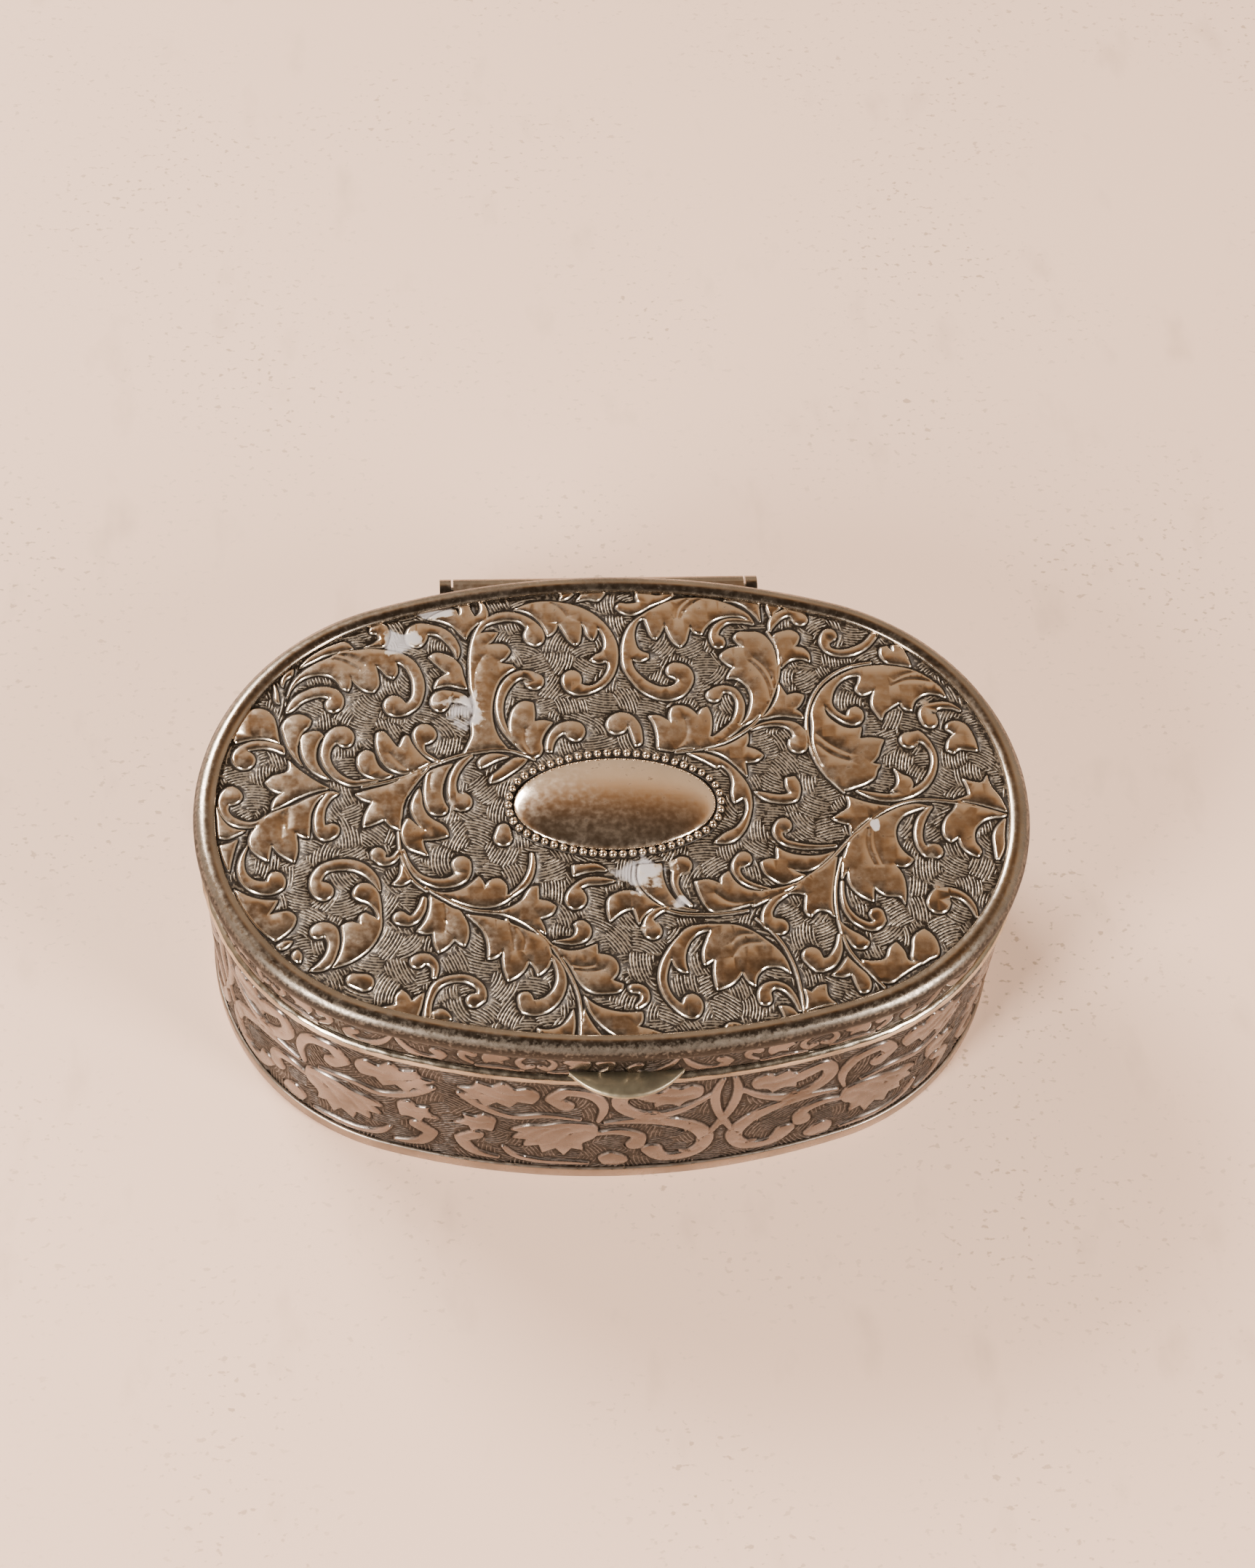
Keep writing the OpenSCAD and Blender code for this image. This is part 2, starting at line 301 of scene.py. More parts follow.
class Relief:
    """An embossed sheet: raised leaves with veins, a groove round each, and a hatched ground."""

    # signed distance from a leaf's edge, with the height and the patina there
    DISTANCE = [-0.17, 0.0, 0.1, 0.25, 0.36]
    HEIGHT = [1.0, 0.76, -0.5, -0.5, 0.0]
    PATINA = [0.0, 0.1, 1.0, 1.0, 0.85]
    CUT_RINGS = (0.0, 0.17)  # distances at which a vein or groove gets a ring of points
    RING_ERROR = 0.04  # a ring point is left out when it is this far off its distance
    HATCH_GAP = 0.3  # hatching stays this far from a leaf
    HATCH_OVERLAP = 0.14  # how far a stroke runs past the border between two patches
    HATCH_STEP = 0.3

    def __init__(self, raised, cut, lift=0.19, seed=1):
        self.raised = raised
        self.cut = cut
        self.lift = lift
        self.chance = random.Random(seed)
        edges = []
        for k, shape in enumerate(raised):
            dense = self.dense(shape.loop)
            if isinstance(shape, Band):
                dense = dense[~shape.covers(dense, 0.03)]
            for other in raised[:k] + raised[k + 1:]:
                dense = dense[~other.covers(dense)]
            edges.append(dense)
        edges += [self.dense(shape.loop) for shape in cut]
        samples = np.concatenate(edges)
        self.tree = KDTree(len(samples))
        for i, (x, y) in enumerate(samples):
            self.tree.insert((x, y, 0), i)
        self.tree.balance()

    @staticmethod
    def dense(loop, step=0.08):
        """The loop with points added until they are close together."""
        after = np.roll(loop, -1, 0)
        out = []
        for a, b in zip(loop, after):
            pieces = max(1, math.ceil(np.linalg.norm(b - a) / step))
            out.append(a + (b - a) * (np.arange(pieces) / pieces)[:, None])
        return np.concatenate(out)

    def on_leaf(self, points):
        """Which points lie on a raised leaf and not in one of its veins."""
        found = np.zeros(len(points), bool)
        for shape in self.raised:
            found |= shape.covers(points)
        for shape in self.cut:
            found &= ~shape.covers(points)
        return found

    def distance(self, points):
        """Distance from the nearest leaf edge: negative on a leaf, positive beside it."""
        away = np.array([self.tree.find((x, y, 0))[2] for x, y in points])
        return np.where(self.on_leaf(points), -away, away)

    def surface(self, border, extra):
        """The relief's triangles inside a border: flat points, faces and distances. Each shape
        brings rings of points at the distances where the height bends."""
        points = [border, extra]
        edges = [(i, (i + 1) % len(border)) for i in range(len(border))]
        start = len(border) + len(extra)
        for shape in self.raised + self.cut:
            offsets = self.DISTANCE if shape in self.raised else self.CUT_RINGS
            for offset in offsets:
                ring = moved_out(shape.loop, offset)
                away = np.array([self.tree.find((x, y, 0))[2] for x, y in ring])
                near = np.abs(away - abs(offset)) < self.RING_ERROR
                kept = is_inside(ring, border) & near
                index = np.cumsum(kept) - 1 + start
                for i in range(len(ring)):
                    j = (i + 1) % len(ring)
                    if kept[i] and kept[j]:
                        edges.append((int(index[i]), int(index[j])))
                points.append(ring[kept])
                start += int(kept.sum())
        flat = np.concatenate(points)
        made = delaunay_2d_cdt([Vector(p) for p in flat], edges, [], 0, 0.004, False)
        flat = np.array([tuple(v) for v in made[0]])
        return flat, [tuple(face) for face in made[2]], self.distance(flat)

    def heights(self, distance):
        """Height above the ground and patina at those distances."""
        height = np.interp(distance, self.DISTANCE, self.HEIGHT) * self.lift
        return height, np.interp(distance, self.DISTANCE, self.PATINA)

    def hatching(self, patches, allowed, pitch=0.34, width=0.25, rise=0.06, reach=4.0):
        """Fine raised strokes over the ground. Each patch is (x, y, direction, bend), and has its
        own parallel arcs. A stroke ends where another patch is nearer, or where a leaf's groove
        starts. The strokes of all patches are measured together, which is far quicker."""
        tightest = 0.4
        centres = np.array([(x, y) for x, y, _, _ in patches])
        lines = []
        for x, y, direction, bend in patches:
            angle = math.radians(direction)
            along = np.array([math.cos(angle), math.sin(angle)])
            across = np.array([-along[1], along[0]])
            near = np.nonzero(np.linalg.norm(centres - (x, y), axis=1) < 2 * reach + 1)[0]
            for k in range(-int(reach / pitch), int(reach / pitch) + 1):
                offset = k * pitch + self.chance.uniform(-0.03, 0.03)
                radius = bend - offset
                if abs(radius) < tightest:
                    continue
                turn = np.arange(-reach, reach + self.HATCH_STEP, self.HATCH_STEP) / radius
                line = (np.array([x, y]) + across * bend
                        + np.outer(np.sin(turn), along) * radius
                        - np.outer(np.cos(turn), across) * radius)
                gaps = np.linalg.norm(line[:, None] - centres[near][None], axis=2)
                own = np.linalg.norm(line - (x, y), axis=1)
                lines.append((line, (own < gaps.min(1) + self.HATCH_OVERLAP) & allowed(line)))
        every = np.concatenate([line for line, _ in lines])
        open_here = np.concatenate([keep for _, keep in lines])
        open_here[open_here] = self.distance(every[open_here]) > self.HATCH_GAP
        parts, patina_and_shade = [], []
        start = 0
        for line, _ in lines:
            self.strokes(line, open_here[start:start + len(line)], width, rise, parts, patina_and_shade)
            start += len(line)
        vertices, faces = joined(*parts)
        return vertices, faces, np.concatenate(patina_and_shade)

    def strokes(self, line, keep, width, rise, parts, patina_and_shade):
        """Adds a flat-topped ridge along each unbroken stretch of a line."""
        shortest = 3
        sunk = -0.03
        i = 0
        while i < len(line):
            j = i
            while j < len(line) and keep[j]:
                j += 1
            if j - i >= shortest:
                run = line[i:j]
                ahead = np.gradient(run, axis=0)
                ahead /= np.linalg.norm(ahead, axis=1)[:, None] + 1e-9
                side = np.stack([-ahead[:, 1], ahead[:, 0]], 1)
                scale = np.full(len(run), self.chance.uniform(0.75, 1.1))
                scale[0] = scale[-1] = 0.3
                ridge = []
                for share, up in ((0.5, 0), (0.22, 1), (-0.22, 1), (-0.5, 0)):
                    height = rise * scale if up else np.full(len(run), sunk)
                    flat = run + side * (width * share * scale)[:, None]
                    ridge.append(np.column_stack([flat, height]))
                count = len(run)
                faces = [(s * count + m, s * count + m + 1, (s + 1) * count + m + 1,
                          (s + 1) * count + m) for s in range(3) for m in range(count - 1)]
                parts.append((np.concatenate(ridge), faces))
                patina_and_shade.append(np.repeat([0.95, 0.6, 0.6, 0.95], count))
            i = max(j, i + 1)


# ---------------------------------------------------------------- materials

class Nodes:
    """A small helper that builds a material's node tree."""

    def __init__(self, name):
        self.material = bpy.data.materials.new(name)
        self.material.use_nodes = True
        self.tree = self.material.node_tree
        self.shader = self.tree.nodes["Principled BSDF"]

    def add(self, kind, settings=None, **inputs):
        """Adds a node. settings are its properties, and inputs are its sockets' values or links."""
        node = self.tree.nodes.new(kind)
        for key, value in (settings or {}).items():
            setattr(node, key, value)
        for key, value in inputs.items():
            self.feed(node.inputs[key.replace("_", " ")], value)
        return node

    def feed(self, socket, value):
        """Sets a socket, or links an output to it."""
        if isinstance(value, bpy.types.NodeSocket):
            self.tree.links.new(value, socket)
        else:
            socket.default_value = value

    def noise(self, scale, detail=3.0, stretch=(1, 1, 1), roughness=0.5):
        """Noise in object space, scale in repeats per metre, stretched along an axis."""
        place = self.add("ShaderNodeTexCoord").outputs["Object"]
        mapped = self.add("ShaderNodeMapping", Vector=place, Scale=stretch).outputs["Vector"]
        made = self.add("ShaderNodeTexNoise", Vector=mapped, Scale=scale, Detail=detail,
                        Roughness=roughness)
        return made.outputs["Fac"]

    def span(self, value, low, high, to_low=0.0, to_high=1.0):
        """A value mapped from one range to another, and held inside it."""
        made = self.add("ShaderNodeMapRange", Value=value)
        made.inputs["From Min"].default_value = low
        made.inputs["From Max"].default_value = high
        made.inputs["To Min"].default_value = to_low
        made.inputs["To Max"].default_value = to_high
        return made.outputs["Result"]

    def maths(self, operation, a, b):
        """One step of arithmetic."""
        node = self.add("ShaderNodeMath", {"operation": operation})
        self.feed(node.inputs[0], a)
        self.feed(node.inputs[1], b)
        return node.outputs[0]

    def mix(self, share, a, b):
        """A mix of two colours."""
        node = self.add("ShaderNodeMix", {"data_type": "RGBA"})
        self.feed(node.inputs[0], share)
        self.feed(node.inputs[6], a)
        self.feed(node.inputs[7], b)
        return node.outputs[2]

    def bump(self, height, strength, distance):
        """A bump from a height."""
        return self.add("ShaderNodeBump", Height=height, Strength=strength,
                        Distance=distance).outputs["Normal"]


TARNISH = (0.017, 0.0105, 0.0055, 1)
GREY_TARNISH = (0.105, 0.078, 0.055, 1)
RESIDUE = (0.42, 0.385, 0.38, 1)

# patches of pale polish left in the hollows: (x, y, half width, half depth)
PATCHES = [(-15.6, 12.6, 3.6, 3.4), (-22.5, 21.6, 3.4, 2.6), (-18.6, 25.6, 2.4, 1.2),
           (2.2, -8.8, 3.8, 2.6), (6.4, -12, 1.6, 1.6), (27.9, -3.4, 0.6, 0.8)]


def residue(n):
    """Where the pale residue lies: a ragged mask round each patch."""
    place = n.add("ShaderNodeTexCoord").outputs["Object"]
    ragged = n.span(n.noise(420, 5), 0.3, 0.7, -0.75, 0.75)
    mask = -0.6
    for x, y, wide, deep in PATCHES:
        moved = n.add("ShaderNodeVectorMath", {"operation": "SUBTRACT"})
        n.feed(moved.inputs[0], place)
        moved.inputs[1].default_value = (x * MM, y * MM, 0)
        scaled = n.add("ShaderNodeVectorMath", {"operation": "MULTIPLY"})
        n.feed(scaled.inputs[0], moved.outputs[0])
        scaled.inputs[1].default_value = (1 / wide / MM, 1 / deep / MM, 0)
        length = n.add("ShaderNodeVectorMath", {"operation": "LENGTH"})
        n.feed(length.inputs[0], scaled.outputs[0])
        mask = n.maths("MAXIMUM", mask, n.span(length.outputs["Value"], 0.2, 1.3, 1.0, -0.6))
    return n.span(n.maths("ADD", mask, ragged), 0.32, 0.68, 0.0, 0.9)


def silver(name, tint=(0.74, 0.60, 0.455, 1), gloss=0.2, worn=0.4, chased=0.0, scratch=0.25,
           patched=False, metal=1.0):
    """Old silver plate: clean metal toned brown in places, with fine scratches, and dark tarnish in
    small pits and where the patina_and_shade layer says so;
    on the rim and the beads that layer also holds painted shade. chased is how dark that gets."""
    n = Nodes(name)
    cloud = n.noise(160, 4)
    speckle = n.noise(1400, 2)
    hairline = n.noise(900, 2, (1, 0.06, 1))
    crossline = n.noise(1100, 2, (0.08, 1, 1))
    tone = n.span(cloud, 0.35, 0.7, 0.0, worn)
    pits = n.span(speckle, 0.66, 0.76, 0.0, 0.5)
    colour = n.mix(n.maths("MAXIMUM", tone, pits), tint, GREY_TARNISH)
    rough = n.span(n.maths("ADD", cloud, speckle), 0.7, 1.3, gloss - 0.06, gloss + 0.12)
    share = metal
    if chased:
        patina_and_shade = n.add("ShaderNodeAttribute", {"attribute_name": "patina_and_shade"}).outputs["Fac"]
        ragged = n.maths("ADD", patina_and_shade, n.span(n.noise(2600, 3), 0.3, 0.7, -0.16, 0.16))
        dark = n.span(ragged, 0.28, 0.85, 0.0, chased)
        colour = n.mix(dark, colour, TARNISH)
        rough = n.maths("ADD", rough, n.maths("MULTIPLY", dark, 0.25))
        share = n.span(dark, 0.0, 1.0, metal, 0.5)
    if patched:
        pale = residue(n)
        colour = n.mix(pale, colour, RESIDUE)
        rough = n.maths("ADD", rough, n.maths("MULTIPLY", pale, 0.5))
        share = n.maths("MULTIPLY", share, n.span(pale, 0.0, 1.0, 1.0, 0.05))
    n.feed(n.shader.inputs["Base Color"], colour)
    n.feed(n.shader.inputs["Roughness"], rough)
    n.feed(n.shader.inputs["Metallic"], share)
    lines = n.maths("ADD", hairline, crossline)
    n.feed(n.shader.inputs["Normal"], n.bump(lines, scratch, 0.00002))
    return n.material


def stone(name):
    """The pale table: pinkish cream, with dark grains and blurred stains."""
    n = Nodes(name)
    cloud = n.noise(9, 4)
    grains = n.span(n.noise(900, 2, (1, 1.4, 1)), 0.62, 0.68, 0.0, 0.6)
    crowd = n.span(n.noise(30, 3), 0.42, 0.62)
    grains = n.maths("MULTIPLY", grains, crowd)
    stains = n.span(n.noise(90, 4, (1.6, 0.8, 1)), 0.6, 0.76, 0.0, 0.22)
    base = n.mix(cloud, (0.98, 0.665, 0.485, 1), (0.92, 0.61, 0.43, 1))
    marks = n.maths("MAXIMUM", grains, stains)
    n.feed(n.shader.inputs["Base Color"], n.mix(marks, base, (0.34, 0.22, 0.13, 1)))
    n.feed(n.shader.inputs["Roughness"], 0.62)
    return n.material


CHASED = silver("embossed silver", gloss=0.17, worn=0.22, chased=1.0, patched=True)
SOFT = silver("worn embossed silver", tint=(0.27, 0.225, 0.20, 1), chased=1.0, gloss=0.24,
              worn=0.7, scratch=0.5)
POLISHED = silver("polished silver", tint=(0.4, 0.33, 0.26, 1), gloss=0.2, worn=0.5, scratch=0.35)
RIM = silver("rim silver", tint=(0.42, 0.345, 0.27, 1), gloss=0.19, worn=0.5, chased=1.0,
             scratch=0.4)
DOME = silver("boss silver", tint=(0.97, 0.79, 0.61, 1), gloss=0.15, worn=0.2, scratch=0.2)
FOOT = silver("foot silver", tint=(0.38, 0.31, 0.25, 1), gloss=0.3, worn=0.6, scratch=0.5)
WORN = silver("worn silver", tint=(0.66, 0.57, 0.44, 1), gloss=0.18, worn=0.8, scratch=0.9)
TAB = silver("rubbed thumb silver", tint=(0.50, 0.43, 0.28, 1), gloss=0.34, worn=0.8,
             scratch=1.0, metal=0.82)
INSIDE = silver("inside silver", tint=(0.82, 0.75, 0.66, 1), gloss=0.3, worn=0.2)
STEEL = silver("pin steel", tint=(0.55, 0.52, 0.48, 1), gloss=0.34, worn=0.5)


def dressed(piece, *materials):
    """Gives a piece its materials."""
    piece.data.materials.clear()
    for material in materials:
        piece.data.materials.append(material)
    return piece


# ---------------------------------------------------------------- the lid's scrollwork

# Outlines in millimetres from the oval's middle, which smooth_curve rounds.
LID_LEAVES = [
    # left side, behind the middle
    [(-40.6, 8.7), (-40.8, 9.7), (-40.2, 10.9), (-39.6, 12.1), (-38.7, 13.0), (-37.6, 12.9),
     (-36.7, 12.1), (-36.3, 10.9), (-36.1, 9.6), (-35.9, 8.5), (-37.0, 9.0), (-38.3, 9.2), (-39.6, 9.0)],
    [(-35.4, 7.9), (-36.3, 8.5), (-37.5, 8.8), (-38.8, 8.8), (-40.0, 8.3), (-40.8, 7.4), (-40.9, 6.4),
     (-40.4, 5.6), (-39.5, 5.3), (-38.8, 5.7), (-38.5, 6.5), (-38.8, 7.2), (-39.5, 7.6), (-38.4, 7.9),
     (-37.2, 7.9), (-36.1, 7.5), (-35.4, 7.1)],
    [(-37.3, 3.6), (-36.6, 4.3), (-35.6, 4.6), (-35.1, 4.8), (-34.9, 6.3), (-34.2, 5.5), (-32.9, 4.3),
     (-31.4, 3.2), (-30.6, 2.7), (-32.2, 2.3), (-34.0, 1.5), (-35.5, 0.6), (-36.6, 0.1), (-36.5, 1.0),
     (-36.1, 1.7), (-35.4, 2.2), (-36.2, 2.4), (-36.9, 2.9)],
    [(-41.0, 3.1), (-40.2, 2.7), (-39.8, 1.8), (-40.3, 1.1), (-41.2, 0.9), (-41.3, 0.3), (-40.9, -0.5),
     (-40.0, -1.1), (-38.9, -1.4), (-38.0, -1.2), (-37.3, -0.6), (-38.2, -1.8), (-39.4, -2.0),
     (-40.7, -1.7), (-41.7, -0.8), (-42.2, 0.3), (-42.3, 1.4), (-41.9, 2.5)],
    [(-36.6, 16.3), (-36.2, 15.2), (-36.0, 13.6), (-36.4, 14.0), (-36.5, 15.1)],
    [(-35.8, 16.3), (-35.4, 17.5), (-34.5, 18.2), (-34.6, 17.4), (-35.3, 16.8), (-35.6, 15.8)],
    [(-33.8, 18.3), (-32.9, 19.5), (-31.6, 20.5), (-30.2, 21.2), (-28.7, 21.6), (-27.9, 20.7),
     (-29.4, 20.4), (-31.0, 19.9), (-32.4, 19.1)],
    [(-35.0, 14.9), (-34.4, 16.6), (-33.3, 17.9), (-31.9, 18.9), (-30.5, 19.6), (-29.3, 20.3),
     (-27.6, 20.5), (-25.9, 20.7), (-24.2, 20.4), (-22.5, 19.9), (-21.3, 19.0), (-20.6, 17.7),
     (-20.2, 16.1), (-20.3, 14.5), (-20.9, 13.0), (-21.8, 12.2), (-23.0, 11.8), (-24.1, 12.1),
     (-24.6, 13.0), (-24.4, 13.9), (-23.7, 14.4), (-22.9, 14.2), (-22.2, 13.3), (-21.6, 14.1),
     (-21.4, 15.6), (-21.7, 17.2), (-22.4, 18.4), (-23.3, 18.9), (-23.1, 17.6), (-23.6, 16.7),
     (-24.3, 17.2), (-24.8, 17.9), (-25.5, 18.5), (-25.2, 17.0), (-25.2, 15.8), (-25.7, 15.0),
     (-26.5, 15.1), (-27.4, 15.8), (-28.3, 17.1), (-28.2, 16.0), (-28.5, 15.2), (-29.1, 15.5),
     (-29.6, 16.4), (-30.4, 17.1), (-31.6, 17.4), (-32.8, 17.2), (-33.8, 16.6), (-34.6, 15.7),
     (-35.1, 14.4)],
    [(-35.2, 12.4), (-35.0, 13.3), (-34.3, 14.4), (-33.2, 15.2), (-31.8, 15.7), (-30.4, 15.6),
     (-29.4, 15.0), (-29.0, 14.0), (-29.3, 12.9), (-30.1, 12.4), (-30.8, 12.9), (-30.9, 13.7),
     (-30.4, 14.2), (-31.3, 14.5), (-32.5, 14.3), (-33.6, 13.7), (-34.5, 12.8)],
    [(-35.6, 10.8), (-35.1, 11.7), (-34.2, 12.15), (-33.2, 12.0), (-32.5, 11.4), (-32.8, 10.6),
     (-33.4, 10.0), (-33.8, 9.0), (-34.0, 7.9), (-33.9, 6.8), (-33.4, 5.6), (-34.3, 6.7),
     (-35.0, 8.0), (-35.4, 9.4)],
    [(-33.4, 9.5), (-32.6, 9.9), (-31.6, 9.9), (-31.2, 9.4), (-31.7, 8.6), (-32.0, 7.3),
     (-31.9, 6.0), (-31.3, 4.8), (-30.5, 3.8), (-31.6, 4.3), (-32.6, 5.2), (-33.3, 6.5), (-33.6, 8.0)],
    [(-25.3, 3.5), (-26.8, 3.1), (-28.3, 3.0), (-29.7, 3.7), (-30.8, 5.0), (-31.4, 6.6), (-31.3, 8.2),
     (-30.8, 9.6), (-29.9, 10.4), (-28.9, 10.5), (-28.1, 9.9), (-27.9, 8.9), (-28.3, 8.1),
     (-29.1, 8.0), (-29.7, 8.6), (-30.3, 7.8), (-30.5, 6.6), (-30.1, 5.4), (-29.2, 4.3),
     (-27.9, 3.6), (-26.5, 3.7)],
    [(-27.3, 6.9), (-26.6, 7.4), (-25.8, 7.0), (-25.6, 6.2), (-25.2, 5.3), (-24.5, 4.6),
     (-23.7, 4.2), (-24.9, 3.7), (-26.0, 3.9), (-27.2, 4.8), (-27.5, 5.8)],
    [(-25.4, 9.6), (-24.8, 9.8), (-24.1, 9.1), (-23.6, 8.3), (-23.1, 7.6), (-22.8, 8.3), (-22.3, 9.2),
     (-22.0, 9.2), (-21.6, 8.1), (-20.9, 7.0), (-19.7, 5.7), (-20.9, 5.0), (-22.4, 4.4),
     (-23.6, 4.7), (-24.6, 5.6), (-25.2, 6.8), (-25.5, 8.3)],
    [(-18.4, 5.7), (-19.5, 6.1), (-20.6, 7.1), (-21.3, 8.4), (-21.4, 9.7), (-20.8, 10.5),
     (-19.9, 10.6), (-19.2, 10.0), (-19.0, 9.2), (-19.4, 8.5), (-20.3, 8.1), (-20.2, 7.2),
     (-19.4, 6.4)],
    [(-22.1, 22.4), (-21.7, 23.5), (-20.7, 24.0), (-19.4, 23.8), (-18.0, 23.3), (-17.0, 22.4),
     (-16.4, 21.3), (-16.2, 20.2), (-16.5, 19.2), (-16.9, 20.3), (-17.6, 21.4), (-18.7, 22.4),
     (-19.7, 22.6), (-20.0, 21.6), (-20.7, 20.9), (-21.5, 21.0), (-22.0, 21.6)],
    [(-19.6, 24.6), (-18.6, 25.3), (-17.4, 25.8), (-16.5, 25.8), (-16.2, 24.9), (-16.0, 25.7),
     (-16.4, 26.4), (-15.9, 26.9), (-15.2, 26.7), (-14.9, 25.8), (-14.4, 24.8), (-13.9, 25.3),
     (-13.9, 27.0), (-13.2, 26.2), (-13.1, 24.6), (-14.1, 23.9), (-14.8, 23.2), (-15.5, 21.8),
     (-16.1, 22.6), (-16.8, 23.5), (-18.0, 24.2)],
    [(-26.1, 23.4), (-25.4, 23.95), (-24.6, 24.0), (-24.0, 23.2), (-24.1, 22.1), (-24.5, 21.1),
     (-25.6, 20.9), (-26.7, 20.9), (-25.7, 21.4), (-25.0, 22.0), (-25.3, 22.7), (-26.0, 22.8)],
    [(-19.6, 19.5), (-18.9, 20.0), (-17.9, 19.8), (-16.9, 19.2), (-16.2, 18.3), (-15.9, 17.0),
     (-15.5, 15.2), (-16.4, 15.4), (-17.5, 15.7), (-19.1, 15.3), (-18.7, 16.4), (-17.5, 17.2),
     (-18.5, 18.2)],
    [(-19.5, 13.5), (-19.2, 14.5), (-18.3, 15.0), (-17.2, 14.9), (-16.0, 14.5), (-15.3, 13.7),
     (-15.1, 12.8), (-16.2, 13.4), (-17.4, 13.6), (-17.8, 12.7), (-18.5, 12.3), (-19.2, 12.7)],
    [(-27.7, 1.9), (-26.2, 2.4), (-24.5, 2.9), (-22.8, 3.6), (-20.6, 4.6), (-21.4, 3.3),
     (-22.2, 1.8), (-22.7, 0.2), (-22.9, -1.3), (-23.2, -2.6), (-23.9, -2.2), (-24.6, -1.3),
     (-25.6, -1.8), (-26.9, -2.2), (-26.8, -1.1), (-26.3, 0.2), (-25.9, 0.9), (-26.8, 1.1)],
    [(-30.6, 2.3), (-32.5, 1.6), (-34.4, 0.6), (-35.8, 0.1), (-37.0, -0.5), (-38.1, -1.8),
     (-38.9, -3.2), (-38.9, -4.3), (-38.1, -5.4), (-36.9, -6.2), (-36.8, -5.3), (-36.6, -4.2),
     (-35.9, -5.1), (-35.0, -5.9), (-34.2, -6.4), (-33.9, -5.2), (-33.9, -4.0), (-34.1, -2.7),
     (-33.5, -3.2), (-32.7, -3.4), (-32.6, -2.0), (-32.5, -0.5), (-32.0, 0.9)],
    [(-30.4, 2.2), (-31.4, 1.2), (-32.0, -0.3), (-32.1, -1.9), (-31.8, -3.2), (-31.1, -3.75),
     (-30.3, -3.6), (-29.6, -3.0), (-29.5, -2.2), (-30.1, -1.8), (-31.0, -2.1), (-31.1, -0.9),
     (-30.9, 0.4), (-30.3, 1.4), (-29.5, 2.0)],
    # left side, in front of the middle
    [(-42.5, 0.7), (-42.4, -1.0), (-42.2, -3.2), (-41.3, -3.3), (-40.3, -2.9), (-39.4, -2.4),
     (-40.9, -2.0), (-41.9, -0.9)],
    [(-42.1, -4.2), (-41.2, -4.0), (-40.2, -3.5), (-40.6, -5.0), (-41.0, -7.4), (-41.6, -6.0)],
    [(-39.1, -4.3), (-39.8, -5.6), (-40.1, -7.2), (-39.7, -8.7), (-38.6, -9.8), (-37.3, -10.2),
     (-36.0, -10.0), (-35.2, -9.3), (-35.2, -8.3), (-35.8, -7.6), (-36.6, -7.7), (-37.0, -8.7),
     (-38.1, -8.6), (-39.1, -7.8), (-39.5, -6.5), (-39.4, -5.3)],
    [(-40.4, -9.6), (-39.4, -10.2), (-37.9, -10.8), (-35.9, -11.0), (-36.3, -11.8), (-36.9, -12.8),
     (-35.9, -12.5), (-34.6, -12.4), (-34.0, -13.0), (-34.2, -14.0), (-35.0, -15.0), (-36.1, -15.8),
     (-37.4, -14.7), (-38.7, -13.1), (-39.7, -11.4)],
    [(-32.5, -9.6), (-32.4, -8.2), (-31.6, -7.0), (-30.3, -6.35), (-28.8, -6.2), (-27.2, -6.6),
     (-26.0, -7.6), (-25.3, -8.9), (-25.2, -10.2), (-25.9, -9.1), (-26.9, -8.1), (-28.2, -7.5),
     (-29.6, -7.4), (-30.9, -7.8), (-31.4, -8.9), (-30.6, -9.1), (-30.1, -9.8), (-30.3, -10.6),
     (-31.1, -11.05), (-32.0, -10.6)],
    [(-28.0, -10.6), (-27.9, -9.9), (-27.2, -9.2), (-26.3, -9.3), (-25.5, -10.1), (-25.2, -11.3),
     (-25.1, -12.9), (-25.1, -14.4), (-25.7, -16.0), (-26.8, -17.4), (-28.2, -18.4), (-30.2, -19.1),
     (-29.5, -17.8), (-29.1, -16.2), (-29.2, -14.2), (-28.4, -13.8), (-27.2, -14.1), (-27.3, -13.1),
     (-26.7, -12.7), (-25.4, -13.6), (-25.7, -12.4), (-26.5, -11.5), (-27.4, -11.1)],
    [(-32.4, -14.6), (-31.7, -13.9), (-30.7, -13.8), (-29.8, -14.4), (-29.5, -15.6), (-29.7, -17.2),
     (-30.8, -19.2), (-32.5, -19.4), (-31.4, -18.4), (-30.7, -17.2), (-30.6, -16.1), (-31.0, -15.3),
     (-31.7, -15.6), (-32.3, -15.3)],
    [(-35.9, -16.4), (-35.2, -15.9), (-34.3, -15.9), (-34.9, -16.6), (-35.6, -16.9)],
    [(-34.3, -17.5), (-33.8, -16.9), (-33.4, -17.4), (-33.5, -18.4), (-34.0, -18.2)],
    # behind the boss, left
    [(-10, 25.7), (-8.4, 26.5), (-6.4, 26.8), (-4.4, 26.5), (-2.8, 26), (-1, 24.8), (0.3, 23.2),
     (1.1, 21.4), (1.3, 19.4), (1, 17.6), (0.2, 16), (-1, 14.9), (-2.4, 14.3), (-3.8, 14.3),
     (-4.7, 15), (-5, 16), (-4.7, 17), (-4, 17.4), (-3.1, 17), (-2.9, 16.2), (-3, 15.6),
     (-2, 15.3), (-0.8, 16), (-0.1, 17), (0.2, 18.1), (0, 18.6), (-1, 18.4), (-1.8, 18.8),
     (-1.2, 19.4), (-0.4, 19.9), (-0.1, 21), (-0.3, 22.2), (-0.8, 23.2), (-1, 22.1),
     (-1.4, 21.4), (-2, 22.1), (-2.3, 23.2), (-2.6, 23.8), (-2.7, 22.2), (-3, 21.1),
     (-3.4, 20.8), (-4.1, 21.6), (-4.7, 22.8), (-5.2, 23.8), (-5.6, 22.7), (-6.4, 22),
